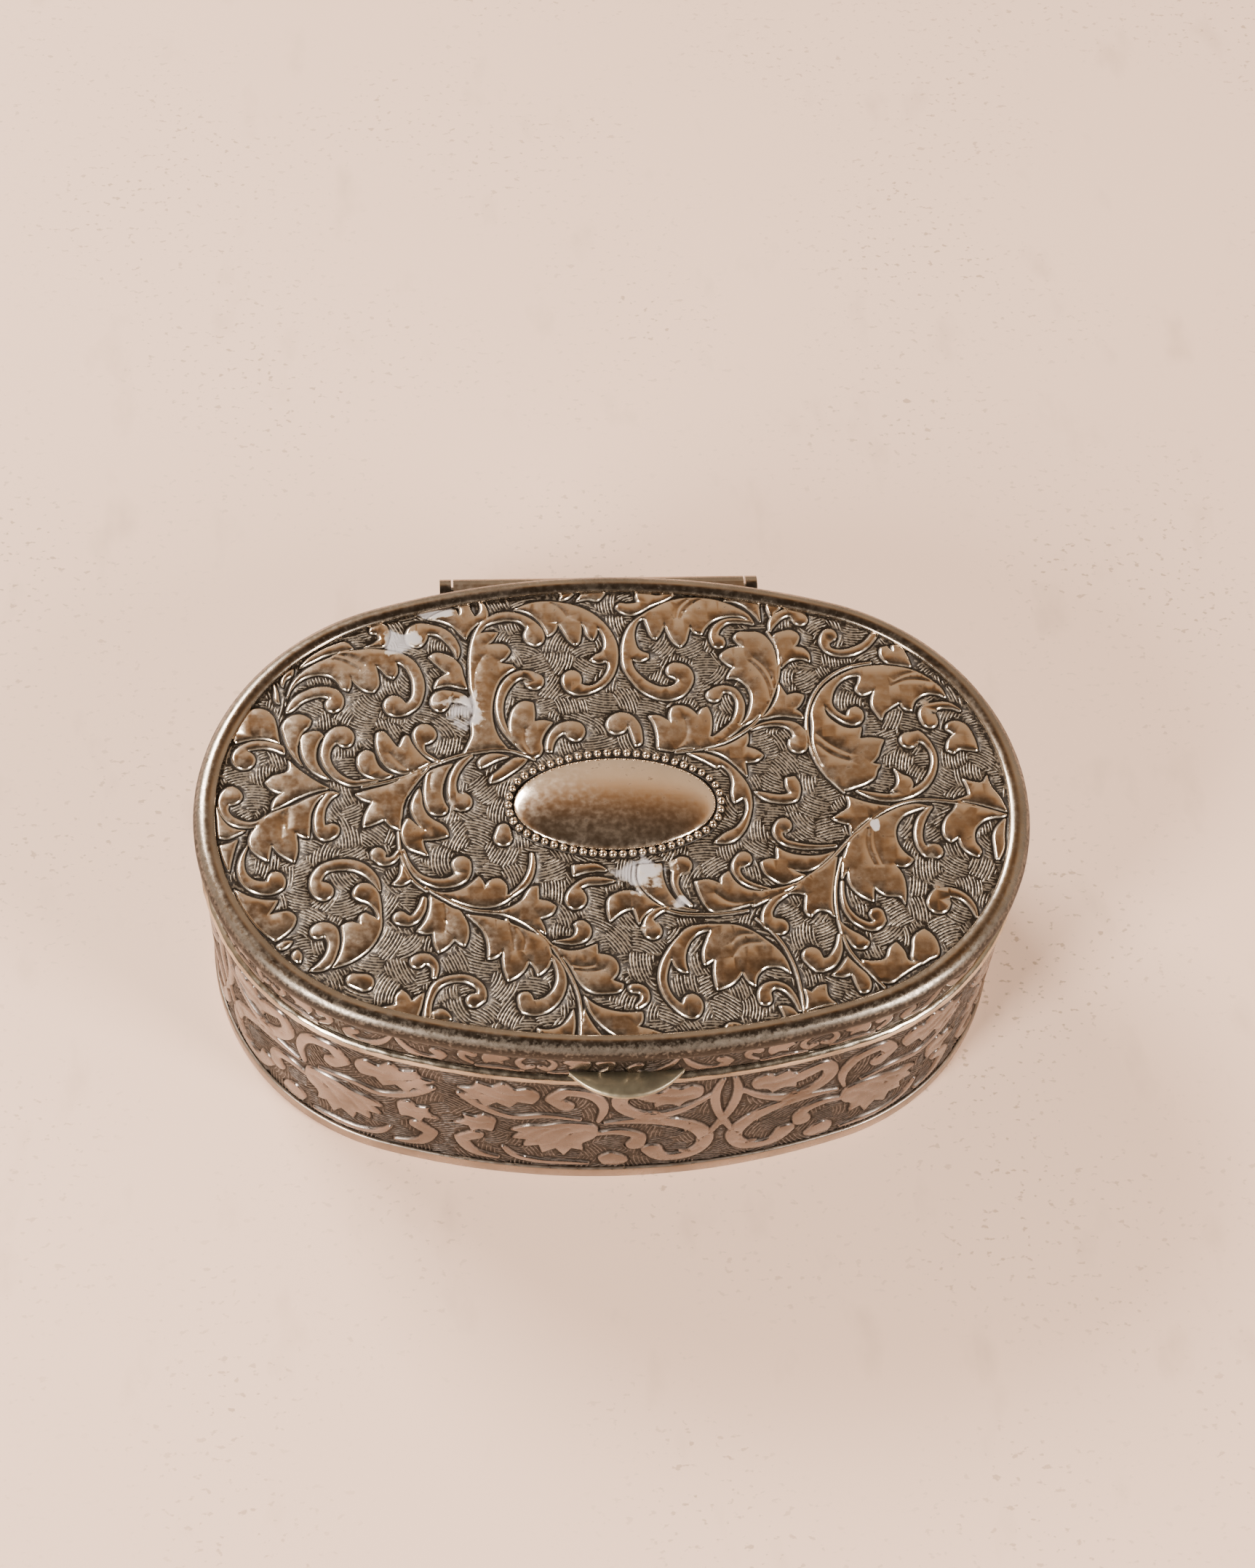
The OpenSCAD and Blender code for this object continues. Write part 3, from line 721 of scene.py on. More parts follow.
     (-6.7, 23), (-7.2, 24), (-8.4, 25.2), (-9.4, 25.6)],
    [(-9.4, 25.1), (-11, 25.4), (-12.6, 24.9), (-13.8, 23.9), (-14.7, 22), (-15.1, 20),
     (-15.2, 17.6), (-15.1, 15), (-14.7, 12.6), (-15.1, 10.6), (-15.1, 9.2), (-15.6, 7.8),
     (-16, 6.9), (-13.5, 7.35), (-11.3, 7.35), (-12.3, 9), (-12.8, 11), (-12.8, 13),
     (-12.4, 15), (-11.8, 16.4), (-10.8, 17.4), (-10.1, 17.8), (-10.4, 18.2), (-11.2, 18.4),
     (-12, 18.6), (-11.2, 19.2), (-10.6, 20.1), (-11.1, 20.9), (-12, 21.1), (-13.3, 20.9),
     (-12.4, 21.8), (-11.9, 22.6), (-13, 22.7), (-14, 22.5), (-13.2, 23.6), (-12, 24.1),
     (-10.6, 24.3), (-9.4, 24), (-8.6, 23.2), (-9, 22.3), (-8.8, 21.4), (-7.8, 20.8),
     (-6.9, 21.4), (-6.8, 22.4), (-7.4, 23.6), (-8.2, 24.4)],
    [(-8.3, 13.2), (-9.4, 13.4), (-10.4, 12.6), (-10.9, 11.2), (-11, 9.8), (-10.6, 8.2),
     (-9.8, 7.1), (-8.6, 6.1), (-7.9, 6.4), (-7.5, 7.2), (-7.6, 8), (-7.2, 9.3), (-6.3, 10.6),
     (-7.3, 10.9), (-8.3, 10.7), (-8.2, 12)],
    [(-7.1, 6.9), (-7, 8.2), (-6.5, 9.4), (-5.5, 10.4), (-4.2, 10.7), (-3.1, 10.3), (-2.8, 9.4),
     (-3, 8.8), (-3.7, 8.2), (-4.5, 8.5), (-5, 9.3), (-5.9, 8.6), (-6.4, 7.4), (-6.5, 6.8)],
    [(-0.4, 9.9), (-0.1, 11), (1, 11.7), (2.3, 11.4), (3.1, 10.4), (3.4, 8.8), (3.2, 7.6),
     (2.6, 7.4), (2.3, 8.6), (1.9, 10.2), (1.6, 9.4), (0.5, 9), (-0.1, 9.3)],
    # behind the boss, right
    [(4.3, 11.2), (5.2, 11.3), (6, 10.9), (6.7, 10.2), (6.6, 11.6), (7, 12.4), (8, 12.5),
     (9, 12), (9.7, 11.1), (10.1, 12), (10.8, 12.3), (11.1, 11.4), (11.1, 9.8), (10.8, 8.4),
     (12.2, 8.6), (13, 9.4), (14.6, 9.9), (13.4, 8.7), (12, 7.7), (10, 7), (8, 7), (6.5, 6.7),
     (5, 7), (5, 9), (4.7, 10.4)],
    [(4.2, 24.7), (3, 23.6), (2, 21.4), (1.75, 19.4), (1.85, 17.6), (2.6, 16), (3.6, 14.6),
     (5, 13.6), (6.6, 13.3), (8, 13.7), (9, 14.8), (9.5, 16.2), (9.2, 17.4), (8.2, 18.1),
     (7, 18), (6.6, 17.2), (6.8, 16.5), (7.4, 16.2), (7.8, 15.8), (7.2, 15.2), (6, 15),
     (4.8, 15.5), (3.8, 16.4), (3, 17.6), (2.75, 18.8), (3.6, 18.5), (4.7, 19), (4.7, 19.5),
     (3.8, 19.9), (3.3, 21.2), (3.4, 23), (3.9, 24), (4.5, 24.3), (4.8, 23), (5.2, 21.8),
     (5.6, 21.4), (6.2, 22.2), (6.7, 23.6), (7, 22.4), (7.6, 21), (8.3, 20.3), (9, 21.2),
     (9.3, 22.2), (9.6, 23.2), (10, 22.3), (10.8, 22), (11.2, 22.8), (12, 23.7), (13.4, 24.3),
     (15, 24.4), (16.8, 23.3), (16.2, 24.6), (15.2, 25.4), (13.8, 26.2), (12.2, 26.8),
     (10.4, 27), (8.6, 26.9), (7, 26.4), (5.4, 25.5)],
    [(17.2, 22.1), (16, 22.2), (14.8, 22.1), (14.4, 21.5), (14.7, 20.8), (15.4, 20.1), (14, 20.1),
     (13, 19.5), (12.7, 19.1), (13.2, 18.1), (14.1, 17.4), (13.5, 16.7), (13.2, 16), (14.2, 16),
     (15.1, 15.3), (15.7, 14), (15.6, 12.4), (15, 10.8), (14.1, 9.7), (15.4, 10.2),
     (16.7, 11.5), (17.8, 13.2), (18.6, 15.3), (18.9, 17.6), (18.8, 19.4), (18.3, 21)],
    # along the back rim
    [(-4.9, 26.9), (-4.1, 27.1), (-3.4, 27.7), (-2.9, 28.4), (-4.4, 28.4)],
    [(-3, 26.7), (-2.3, 27.8), (-1.2, 28.4), (0.5, 28.4), (-0.1, 27.3), (-0.6, 26.8), (-1.6, 27)],
    [(1.4, 25.8), (2, 25.1), (3, 24.8), (4, 25.1), (5.2, 25.9), (6.8, 26.6), (7.9, 27.3),
     (7.6, 28), (6.8, 28.1), (6.7, 27.5), (6, 27.4), (5, 27.8), (4, 28.2), (3.7, 27.4),
     (4, 26.5), (2.6, 26.3), (1.8, 26.4)],
    [(13.6, 26.5), (14.8, 26.9), (15.2, 27.4), (17.4, 26.9), (17.5, 25.2), (17.5, 23.5),
     (16.8, 24.7), (15.6, 25.9), (14.6, 26.4)],
    [(18.3, 26.5), (19.6, 26.2), (20.5, 25.9), (19.6, 25.2), (18.7, 24.2), (18.4, 25.2)],
    [(18.8, 21), (18.8, 21.6), (19.8, 22.2), (21, 22.3), (21.7, 21.6), (21.5, 20.8), (21, 20.1),
     (22, 19.9), (22.6, 19.2), (22.6, 18.1), (21.8, 18.5), (20.6, 18.4), (19.4, 17.3),
     (19.3, 19), (18.9, 20.4)],
    [(30.7, 19.8), (31.4, 20), (32.1, 19.1), (32, 20.1), (32.8, 20.1), (33.5, 18.8),
     (33.9, 17.2), (32.6, 17.5), (31, 18), (30.6, 18.8)],
    [(18.9, 15.3), (19.7, 13.6), (20.8, 13.9), (21.6, 13.6), (21.1, 12.5), (20.4, 11.8),
     (21, 11.4), (21.3, 10.6), (20.2, 10.8), (18.8, 11), (17.2, 10.7), (16.6, 10.6),
     (17.8, 12), (18.6, 13.6)],
    # right end
    [(22.2, 9.8), (22.2, 11.4), (22.8, 13), (24, 14.8), (25.8, 16.2), (27.8, 17.1), (29.8, 17.4),
     (31.8, 17.3), (33.8, 16.8), (35.2, 16), (36.2, 15.1), (37, 14.2), (37.3, 13), (35.8, 13.6),
     (34.6, 13.3), (33.7, 12.4), (33.4, 11.4), (32.5, 11.7), (32.2, 12.5), (31.4, 12),
     (30.3, 11.1), (29.9, 10.2), (29.5, 10.9), (29, 12), (29.1, 13.2), (29.5, 14.2),
     (28.7, 13.7), (28, 13.5), (27.4, 14.3), (27.8, 15.2), (28, 16.1), (26.8, 16),
     (25.6, 15.2), (24.8, 13.8), (24.6, 12.4), (25.2, 11.3), (26.2, 10.7), (26.4, 11.6),
     (27.2, 12), (27.9, 11.3), (27.8, 10.3), (27, 9.7), (25.9, 9.9), (24.9, 10.6),
     (24.1, 11.5), (23.7, 12.3), (23.8, 11.2), (24.8, 9.9), (26, 9.2), (27.6, 9.3),
     (27.2, 7.8), (28.6, 7.9), (29.9, 7.6), (29.5, 6.8), (29, 5.5), (28.2, 4.6), (29.2, 4.4),
     (28.8, 3.8), (28.4, 2.8), (27.8, 2.3), (26.2, 1.6), (25, 1.3), (23.4, 3.2), (22.4, 5.4),
     (22, 7.4)],
    [(30.6, 3.9), (31.4, 3.1), (32.3, 2.6), (32.5, 1.9), (32.1, 1.1), (31.2, 0.7), (30, 1),
     (30.8, 1.9), (30.9, 2.8)],
    [(36.7, 6.1), (37, 7.4), (37.8, 8.2), (36.9, 8.8), (37, 9.4), (38, 9.9), (39, 9.5),
     (39.8, 8), (40.1, 6), (39.2, 6.1), (38, 6.2), (37.4, 5.7)],
    [(38, 2.4), (39, 2), (40.1, 1.9), (40.7, 2.8), (41, 1.4), (41.8, 0), (42.4, -1.9),
     (40.6, -1.2), (38.6, -0.6), (36.8, -0.4), (38.5, 0.3), (38.4, 1.2)],
    [(25.2, -0.9), (25.1, 0.5), (26, 0.1), (27.6, -0.5), (29.6, -0.9), (28, -1.9),
     (26.4, -3.1), (25.2, -4.3), (25.1, -3), (24, -2.7), (23.3, -2.3), (24.2, -1.7)],
    [(17, -5.7), (18, -6.4), (20, -6.9), (22.4, -6.7), (23.2, -6.4), (22, -7.6), (21, -8.4),
     (19.6, -8.7), (18, -8.3), (19.2, -9), (19.8, -9.3), (18.6, -9.9), (17.2, -10.2),
     (16.2, -9.6), (15.4, -8.6), (15.2, -7.6), (16, -7.2), (17, -7.3)],
    [(20, -9.4), (21.6, -8.6), (23.2, -7.2), (23.4, -7.1), (23, -9), (22.6, -11), (22.4, -13),
     (22.5, -14.4), (22, -13.8), (21, -13.5), (20, -14.3), (19.5, -13.8), (19.5, -12.8),
     (19.7, -11.6), (19, -11.4), (17.8, -11.4), (18.8, -10.6)],
    [(25.2, -4.8), (24.4, -6.4), (23.9, -8), (23.7, -9.8), (24.5, -8.5), (24.4, -10.2),
     (25.2, -11.6), (26.8, -12.6), (27, -10.8), (28, -11.8), (29.9, -12.3), (30.1, -13.1),
     (30.4, -11), (30.2, -9.4), (29.4, -8.1), (30.6, -8.4), (31.6, -7.6), (30.6, -6.6),
     (30, -5), (30.1, -3.6), (31, -2.2), (32.4, -1.5), (34, -1.1), (32.8, -0.7), (31.2, -0.9),
     (29.4, -1.7), (27.6, -2.8), (26.2, -4)],
    [(36.6, -1.5), (35.7, -2.5), (35.2, -3.8), (35.3, -4.9), (35.9, -5.5), (36.8, -4.9),
     (36.9, -5.9), (37.6, -6.9), (38.6, -7.4), (39, -6.8), (38.5, -5.6), (38.6, -4.2),
     (39.6, -3), (42, -2.5), (40.8, -1.8), (38.6, -1.1), (37, -0.8)],
    [(30.6, -17.1), (31.8, -16.1), (32.6, -16.8), (33.1, -18), (33, -19.2), (32, -19.7),
     (31, -20.2), (30.3, -19.8), (30.4, -18.2)],
    [(24.9, -19.6), (26, -19.8), (27.4, -19.5), (28, -18.2), (28.7, -17.6), (29.5, -18.8),
     (29.7, -19.7), (31.2, -20.1), (30, -20.8), (28.8, -21.6), (27.8, -22.3), (27, -22.3),
     (25.8, -21.4), (25.1, -20.4)],
    [(23.1, -15.2), (24, -16), (25.2, -16.8), (25.9, -17.5), (25.6, -18), (24.5, -18.2),
     (23.8, -17.4), (23.3, -16.2)],
    [(23.4, -19.2), (24.4, -20.4), (25.4, -21.6), (25.6, -22.4), (25.2, -23.3), (24.4, -23.4),
     (24, -22.4), (23.7, -21.2), (22.8, -21.5), (21.6, -21.3), (22.4, -20.6), (23, -19.8)],
    [(18.5, -22.8), (19.3, -23.3), (20, -22.6), (20.9, -22.4), (21, -23.8), (21.8, -24.7),
     (20, -25), (18.4, -25.6), (18.7, -24.2)],
    # in front of the boss
    [(7, -15.3), (8.4, -15), (10, -15), (12.2, -15.2), (13.8, -16), (15, -17), (16.2, -18.2),
     (17, -19.6), (17.3, -21), (16.4, -20.3), (15.4, -20.1), (14.5, -20.4), (13.9, -21),
     (13.5, -22.4), (12.6, -21.5), (12.3, -20.6), (11.2, -22), (9.5, -22.7), (9.3, -21),
     (9.5, -19.1), (8.4, -19.8), (8.3, -18.3), (8.8, -16.8), (9.3, -15.6), (8, -16), (6.9, -17.2),
     (6.4, -18.8), (6.6, -20.6), (5.8, -20.4), (5.2, -19.6), (5, -18.8), (4.6, -19.8),
     (4.3, -21.6), (4.9, -23.4), (5.8, -24.4), (6.2, -23.4), (7, -23.2), (7.8, -24),
     (7.8, -25), (7, -25.9), (6, -25.7), (4.8, -24.6), (3.8, -23), (3.5, -21.2), (3.8, -19.6),
     (4.6, -18), (5.8, -16.4)],
    [(9.9, -27.4), (10.2, -26.8), (11.2, -26.6), (11.9, -27), (11, -27.4)],
    [(15.8, -24.8), (16.8, -24.9), (17.7, -25.9), (16.4, -26.4)],
    [(-4.9, -7.5), (-3.8, -7.4), (-2.2, -7.4), (-1.2, -8.2), (-2.6, -8.2), (-4.1, -8.5),
     (-4.8, -8.8)],
    [(-0.4, -9.5), (-2, -9), (-3.6, -9.1), (-4.8, -9.9), (-5.6, -11), (-5.7, -12), (-5.1, -12.7),
     (-4.2, -12.6), (-3.6, -11.8), (-3.8, -10.8), (-4.2, -10.3), (-3.4, -9.9), (-2, -9.8)],
    [(-1.2, -14.4), (-1.4, -12.8), (-1.2, -11.6), (-0.2, -10.9), (1, -10.7), (2.2, -11.2),
     (3.2, -12), (4.2, -12.8), (3, -13.2), (2.2, -14), (1.8, -14.8), (1.5, -13.6),
     (1.3, -12.8), (0.2, -13.2), (-0.6, -13.8)],
    [(2.2, -7.6), (4.6, -7.5), (4.7, -9.6), (5.4, -11.4), (6.6, -12.8), (8.2, -13.3),
     (6.2, -13.1), (4.6, -12.6), (3.4, -11.6), (2.4, -10.4), (2, -9)],
    [(8, -9.8), (9.6, -9.6), (10.8, -10.2), (10.8, -9.4), (11.7, -8.6), (12.3, -9.9),
     (13.4, -10.8), (14.8, -11.1), (16.2, -10.9), (18.6, -10.3), (17, -11.3), (15, -12.2),
     (13, -12.9), (11, -13.4), (9.6, -13.4), (8.8, -12.4), (8.3, -11)],
    [(-13.8, -12.9), (-12, -12.6), (-10.4, -11.6), (-9.2, -10), (-8.6, -9.9), (-8.6, -11.6),
     (-7.6, -11.8), (-6.8, -12.4), (-7.2, -13.2), (-8.6, -13.8), (-8.1, -15), (-8, -15.7),
     (-9.4, -14.8), (-11, -13.8), (-12.6, -13)],
    [(-16.2, -13.2), (-13, -13.8), (-10.4, -15), (-8, -16.6), (-7.5, -18), (-7.9, -19.6),
     (-9, -20.6), (-9.3, -19.6), (-9.9, -18.8), (-10.2, -19.6), (-11.4, -20.8), (-12.1, -21.1),
     (-12.5, -19.6), (-12.5, -17.3), (-13.1, -18.2), (-14.1, -18.5), (-14.1, -16.6),
     (-14.6, -15), (-15.4, -14)],
    [(-9.3, -26.7), (-8.4, -26.9), (-7, -26.6), (-6, -25.6), (-5.5, -24.6), (-5.4, -26.2),
     (-5.7, -27.9), (-9, -27.8)],
    [(-4.4, -24.6), (-3.8, -26), (-2.6, -27.9), (-5, -28)],
    [(-4.3, -23.1), (-3.4, -24), (-1, -25), (1.6, -25.1), (1.5, -26.2), (1, -26.8), (2.2, -27.1),
     (3.8, -27.8), (-1, -27.9), (-2.2, -27), (-3.4, -25.6), (-4, -24.4)],
    [(-7.3, -16.6), (-6.2, -16.4), (-5.2, -16.1), (-4.8, -15.4), (-5, -14.6), (-4.3, -14.2),
     (-3.4, -14.8), (-3.3, -15.8), (-3.8, -16.5), (-5, -16.9), (-6.4, -16.8)],
    [(-7.2, -17.1), (-6, -17.7), (-4.6, -17.7), (-3.2, -17.2), (-2.7, -17), (-2.7, -18.2),
     (-1, -18.8), (-0.6, -20), (-1.4, -21.3), (-0.2, -21.8), (-0.3, -22.3), (-2, -22.8),
     (-3.8, -22.5), (-4.9, -21.2), (-5.6, -19.6), (-6.4, -18.4)],
    # front left and beside the boss
    [(-19.4, -10.4), (-18, -10.5), (-16.6, -10.1), (-15.4, -9.2), (-14.8, -8.6), (-14.4, -9.2),
     (-14.2, -10.2), (-13.7, -9.2), (-12.8, -8.9), (-12, -9.6), (-12, -11), (-11, -10.7),
     (-12.2, -11.8), (-13.8, -12.3), (-15.4, -12.2), (-17.4, -11.5)],
    [(-20, -10.8), (-20.1, -12.6), (-20.5, -13.8), (-21.4, -15), (-20.6, -15.3), (-19.7, -15.2),
     (-19.6, -16.6), (-19.2, -17.6), (-18.4, -17.1), (-17.5, -16), (-17, -16.6), (-16.5, -16.9),
     (-16.1, -15.8), (-16.1, -14.4), (-16.6, -13.2), (-16.8, -12.8), (-17.6, -12.4),
     (-18.8, -11.6)],
    [(-25.2, -23.9), (-23.7, -23.6), (-23.7, -22.6), (-23.1, -21.9), (-22.5, -22.4),
     (-22.1, -23.3), (-21.6, -22.8), (-20.8, -22.3), (-21.1, -23.8), (-21.6, -25.2),
     (-24.2, -24.8)],
    [(-23.9, -9.3), (-23.1, -8.2), (-23, -6.9), (-22.6, -7.6), (-22, -8.9), (-22.8, -9.4)],
    [(-19.2, 4.9), (-17.3, 5.5), (-17.8, 4.7), (-18.3, 3.3), (-18.5, 1.8), (-18.2, 0.5),
     (-17.9, -0.2), (-18.2, -0.7), (-19, -0.9), (-19.8, -0.6), (-20.2, 0.2), (-20.4, 1.6),
     (-20.3, 3.2), (-20, 4.4)],
    [(-20.9, 2.5), (-20.7, 1.5), (-20.6, 0.3), (-20.1, -0.9), (-19.5, -1.5), (-18.6, -2.1),
     (-18.1, -2.7), (-17.9, -3.5), (-18.5, -3.7), (-19.5, -3.9), (-20.7, -3.9), (-20.5, -4.9),
     (-20.1, -5.9), (-21.1, -5.5), (-22.1, -5), (-22.7, -4.1), (-22.9, -3), (-22.6, -1.9),
     (-22.2, -1.2), (-21.7, -1.7), (-21.1, -2.3), (-20.3, -2.9), (-20.9, -2.2), (-21.5, -1.2),
     (-21.8, -0.2), (-21.6, 1.1)],
    [(-14.3, 4.9), (-14.5, 5.7), (-13.9, 6.4), (-13, 6.7), (-12, 6.6), (-11.2, 6.3),
     (-12.6, 5.8), (-13.8, 5.1)],
    [(-13.3, 3), (-13.2, 3.7), (-12.3, 4.6), (-11.4, 5.5), (-10.5, 6.1), (-9.2, 5.9),
     (-10.1, 4.9), (-11.1, 4.1), (-12.3, 3.3)],
    [(8.2, 6.3), (10.2, 6.2), (12.2, 5.2), (13.6, 3.7), (14.5, 2.1), (14.8, 0.5), (14.5, -1.7),
     (13.7, -3.6), (12.4, -4.9), (10.4, -5), (11.6, -3.9), (12.9, -3.2), (13.8, -2),
     (14.2, -0.4), (14, 0.6), (12.9, -0.1), (12.7, 1), (12.9, 2.5), (12.6, 3.8), (11.8, 4.7),
     (11.3, 4.4), (9.8, 5.4)],
    [(10.2, 6.7), (12.6, 7.3), (15, 8.8), (14.9, 7.6), (14.6, 7), (15.9, 6.5), (16.5, 5.9),
     (15.9, 5.3), (14.4, 5.1), (14.5, 4.1), (14.5, 3.2), (13.5, 4.5), (12.6, 5.5), (11.4, 6.3)],
    [(18.7, 2.9), (19.7, 3.1), (20.1, 2.3), (20.1, 1), (19.7, 0.1), (18.7, -0.2), (17.3, -0.1),
     (16.1, 0.3), (15.2, 1.3), (16.3, 1.1), (17.6, 0.8), (19.1, 0.9), (18.7, 1.8)],
    [(-20, -24.6), (-19.2, -24.2), (-18.4, -24.6), (-18, -25.4), (-19.8, -25.6)],
]
# narrow cuts on the leaves, as outlines
LID_VEINS = [
    [(-30.2, 19.35), (-28.9, 19.1), (-27.9, 18.5), (-27.2, 17.7), (-27.9, 18.0), (-28.9, 18.7)],
    [(-29.7, 19.9), (-28.3, 19.8), (-27.3, 19.2), (-26.6, 18.4), (-27.4, 18.7), (-28.6, 19.4)],
    [(-24.1, 7.0), (-23.6, 6.1), (-22.9, 5.3), (-22.1, 4.8), (-22.7, 5.6), (-23.4, 6.4)],
    [(-34.9, 0.3), (-35.2, -0.7), (-35.1, -1.6), (-34.9, -2.4), (-34.8, -1.4), (-34.7, -0.4)],
    [(-35.5, -0.3), (-35.8, -1.3), (-35.8, -2.4), (-35.5, -3.5), (-35.4, -2.3), (-35.3, -1.2)],
]
# curls, as spines of (x, y, half width)
LID_SCROLLS = [
    [(-10.4, 7.9, .06), (-11.5, 9.8, .28), (-12, 11.8, .35), (-11.9, 13.8, .42), (-11.2, 15.6, .5),
     (-10.2, 16.7, .5), (-9.2, 17, .5), (-8.1, 16.1, 1.05)],
    [(10.8, 8, .1), (12.4, 8.9, .35), (13.8, 10.2, .45), (14.4, 11.8, .45), (14.4, 13.2, .4),
     (13.7, 14.4, .4), (12.6, 14.6, .45), (11.6, 13.8, .8)],
    [(16.6, 23.4, .12), (15, 23.8, .25), (13.6, 23.7, .3), (12.6, 22.9, .4), (12.2, 22, .45),
     (12.6, 20.9, .75)],
    [(18.5, 22.4, .1), (18.9, 23.5, .4), (19.9, 24.5, .45), (21.1, 24.8, .5), (22, 23.9, .85)],
    [(15.5, 9.3, .1), (17, 9.9, .25), (18.8, 10, .35), (20.2, 9.4, .6), (20.7, 8.4, .75),
     (20.4, 7.2, 1.05)],
    [(32.6, 7.5, .95), (33.7, 8.1, .6), (34.7, 7, .35), (35.2, 5.4, .28), (34.9, 3.6, .3),
     (33.8, 1.8, .35), (32.4, .8, .4), (30, .2, .4), (28, .5, .35), (26.4, 1.1, .1)],
    [(35.2, 10, .9), (35.1, 11.2, .85), (36, 11.9, .45), (37.4, 12, .35), (38.7, 11.3, .1)],
    [(25.1, 21.6, .85), (24.5, 20.6, .55), (24.9, 19.6, .4), (26, 19.2, .4), (27.6, 19.4, .45),
     (29, 20.2, .4), (30.3, 21.8, .35)],
    [(18, -3, .85), (17.3, -3.9, .5), (17.8, -5, .35), (19, -5.5, .3), (21, -5.8, .2),
     (23.4, -5.7, .1)],
    [(17.6, -11.5, .15), (16.2, -12.4, .35), (15.4, -13.8, .5), (15.5, -15, .7), (16.6, -15.4, .9)],
    [(34.2, -1.1, .1), (33.2, -2.2, .35), (32.5, -4, .4), (32.5, -5.6, .4), (33.1, -6.8, .5),
     (34, -6.6, .85)],
    [(42, -2.9, .1), (41.2, -4.6, .55), (41, -6.4, .5), (40.7, -7.6, .2)],
    [(33.7, -13, 1.2), (34.1, -12, .9), (35, -11.7, .55), (36.4, -12.3, .4), (37.3, -13.5, .3),
     (37.6, -14.7, .1)],
    [(23.7, -10.2, .12), (23.6, -12, .2), (24, -13.8, .3), (25.2, -15.2, .4), (26.6, -15.6, .45),
     (27.3, -14.9, .6), (27, -14.2, .75)],
    [(22.8, -16.6, .12), (22.5, -18.4, .4), (21.5, -19.8, .6), (20.3, -20.1, .8), (19.7, -19, 1)],
    [(14.4, -23.9, .7), (14.5, -22.9, .6), (15.4, -22.3, .4), (16.6, -22.7, .35), (17.4, -23.8, .25),
     (17.9, -25.3, .12)],
    [(6.8, -7.7, 1), (6.1, -8.7, .45), (5.9, -10, .3), (6.4, -11.4, .25), (7.4, -12.6, .15)],
    [(13.4, -7.1, .85), (12.5, -8.1, .45), (13, -9.6, .3), (14.4, -10.5, .25), (15.9, -10.9, .1)],
    [(.8, -22.3, .45), (1.8, -22.6, .45), (2, -23.5, .4), (1.2, -24.4, .25)],
    [(5, -12.9, .1), (3.8, -13.3, .3), (2.9, -14.2, .4), (3.2, -15.6, .95)],
    [(-9.1, -6, .15), (-9.1, -7.4, .25), (-9.6, -9, .3), (-11.8, -11.2, .15)],
    [(-7.5, -18.2, .12), (-6.8, -19.6, .35), (-6.6, -21.4, .5), (-7.4, -23.2, .65), (-8.8, -24.2, .8),
     (-10.2, -24.2, .85), (-10.4, -23.2, .75)],
    [(-15.2, 6.5, .1), (-16.3, 5.6, .35), (-17.1, 4.2, .38), (-17.4, 2.6, .4), (-17.2, 1.4, .6),
     (-16.4, .7, 1.1)],
    [(-12, -2.9, .7), (-12.1, -3.9, .95)],
    [(-22.7, -5.2, .1), (-22.1, -7, .2), (-21, -8.5, .3), (-19.4, -9.25, .45), (-17.8, -9.2, .55),
     (-16.6, -8.4, .75), (-16.6, -7.1, 1)],
    [(-25.4, -5.6, .75), (-25, -6.5, .45), (-24, -6.4, .35), (-23.2, -5.4, .2)],
    [(-23.1, -13.4, .75), (-22, -13.7, .5), (-21, -12.6, .4), (-20.6, -11.2, .25)],
    [(-21.4, -18.6, .75), (-20.6, -18.3, .6), (-19.7, -19, .4), (-19.7, -20.4, .2)],
    [(-20.5, -25, .35), (-20.2, -23, .3), (-19.4, -21.4, .4), (-17.8, -20.7, .35), (-16, -20.9, .4),
     (-14.9, -22, .4), (-14.9, -23, .5), (-15.7, -23.3, .75)],
    [(-28, -20.6, .7), (-26.9, -20.9, .95)],
]
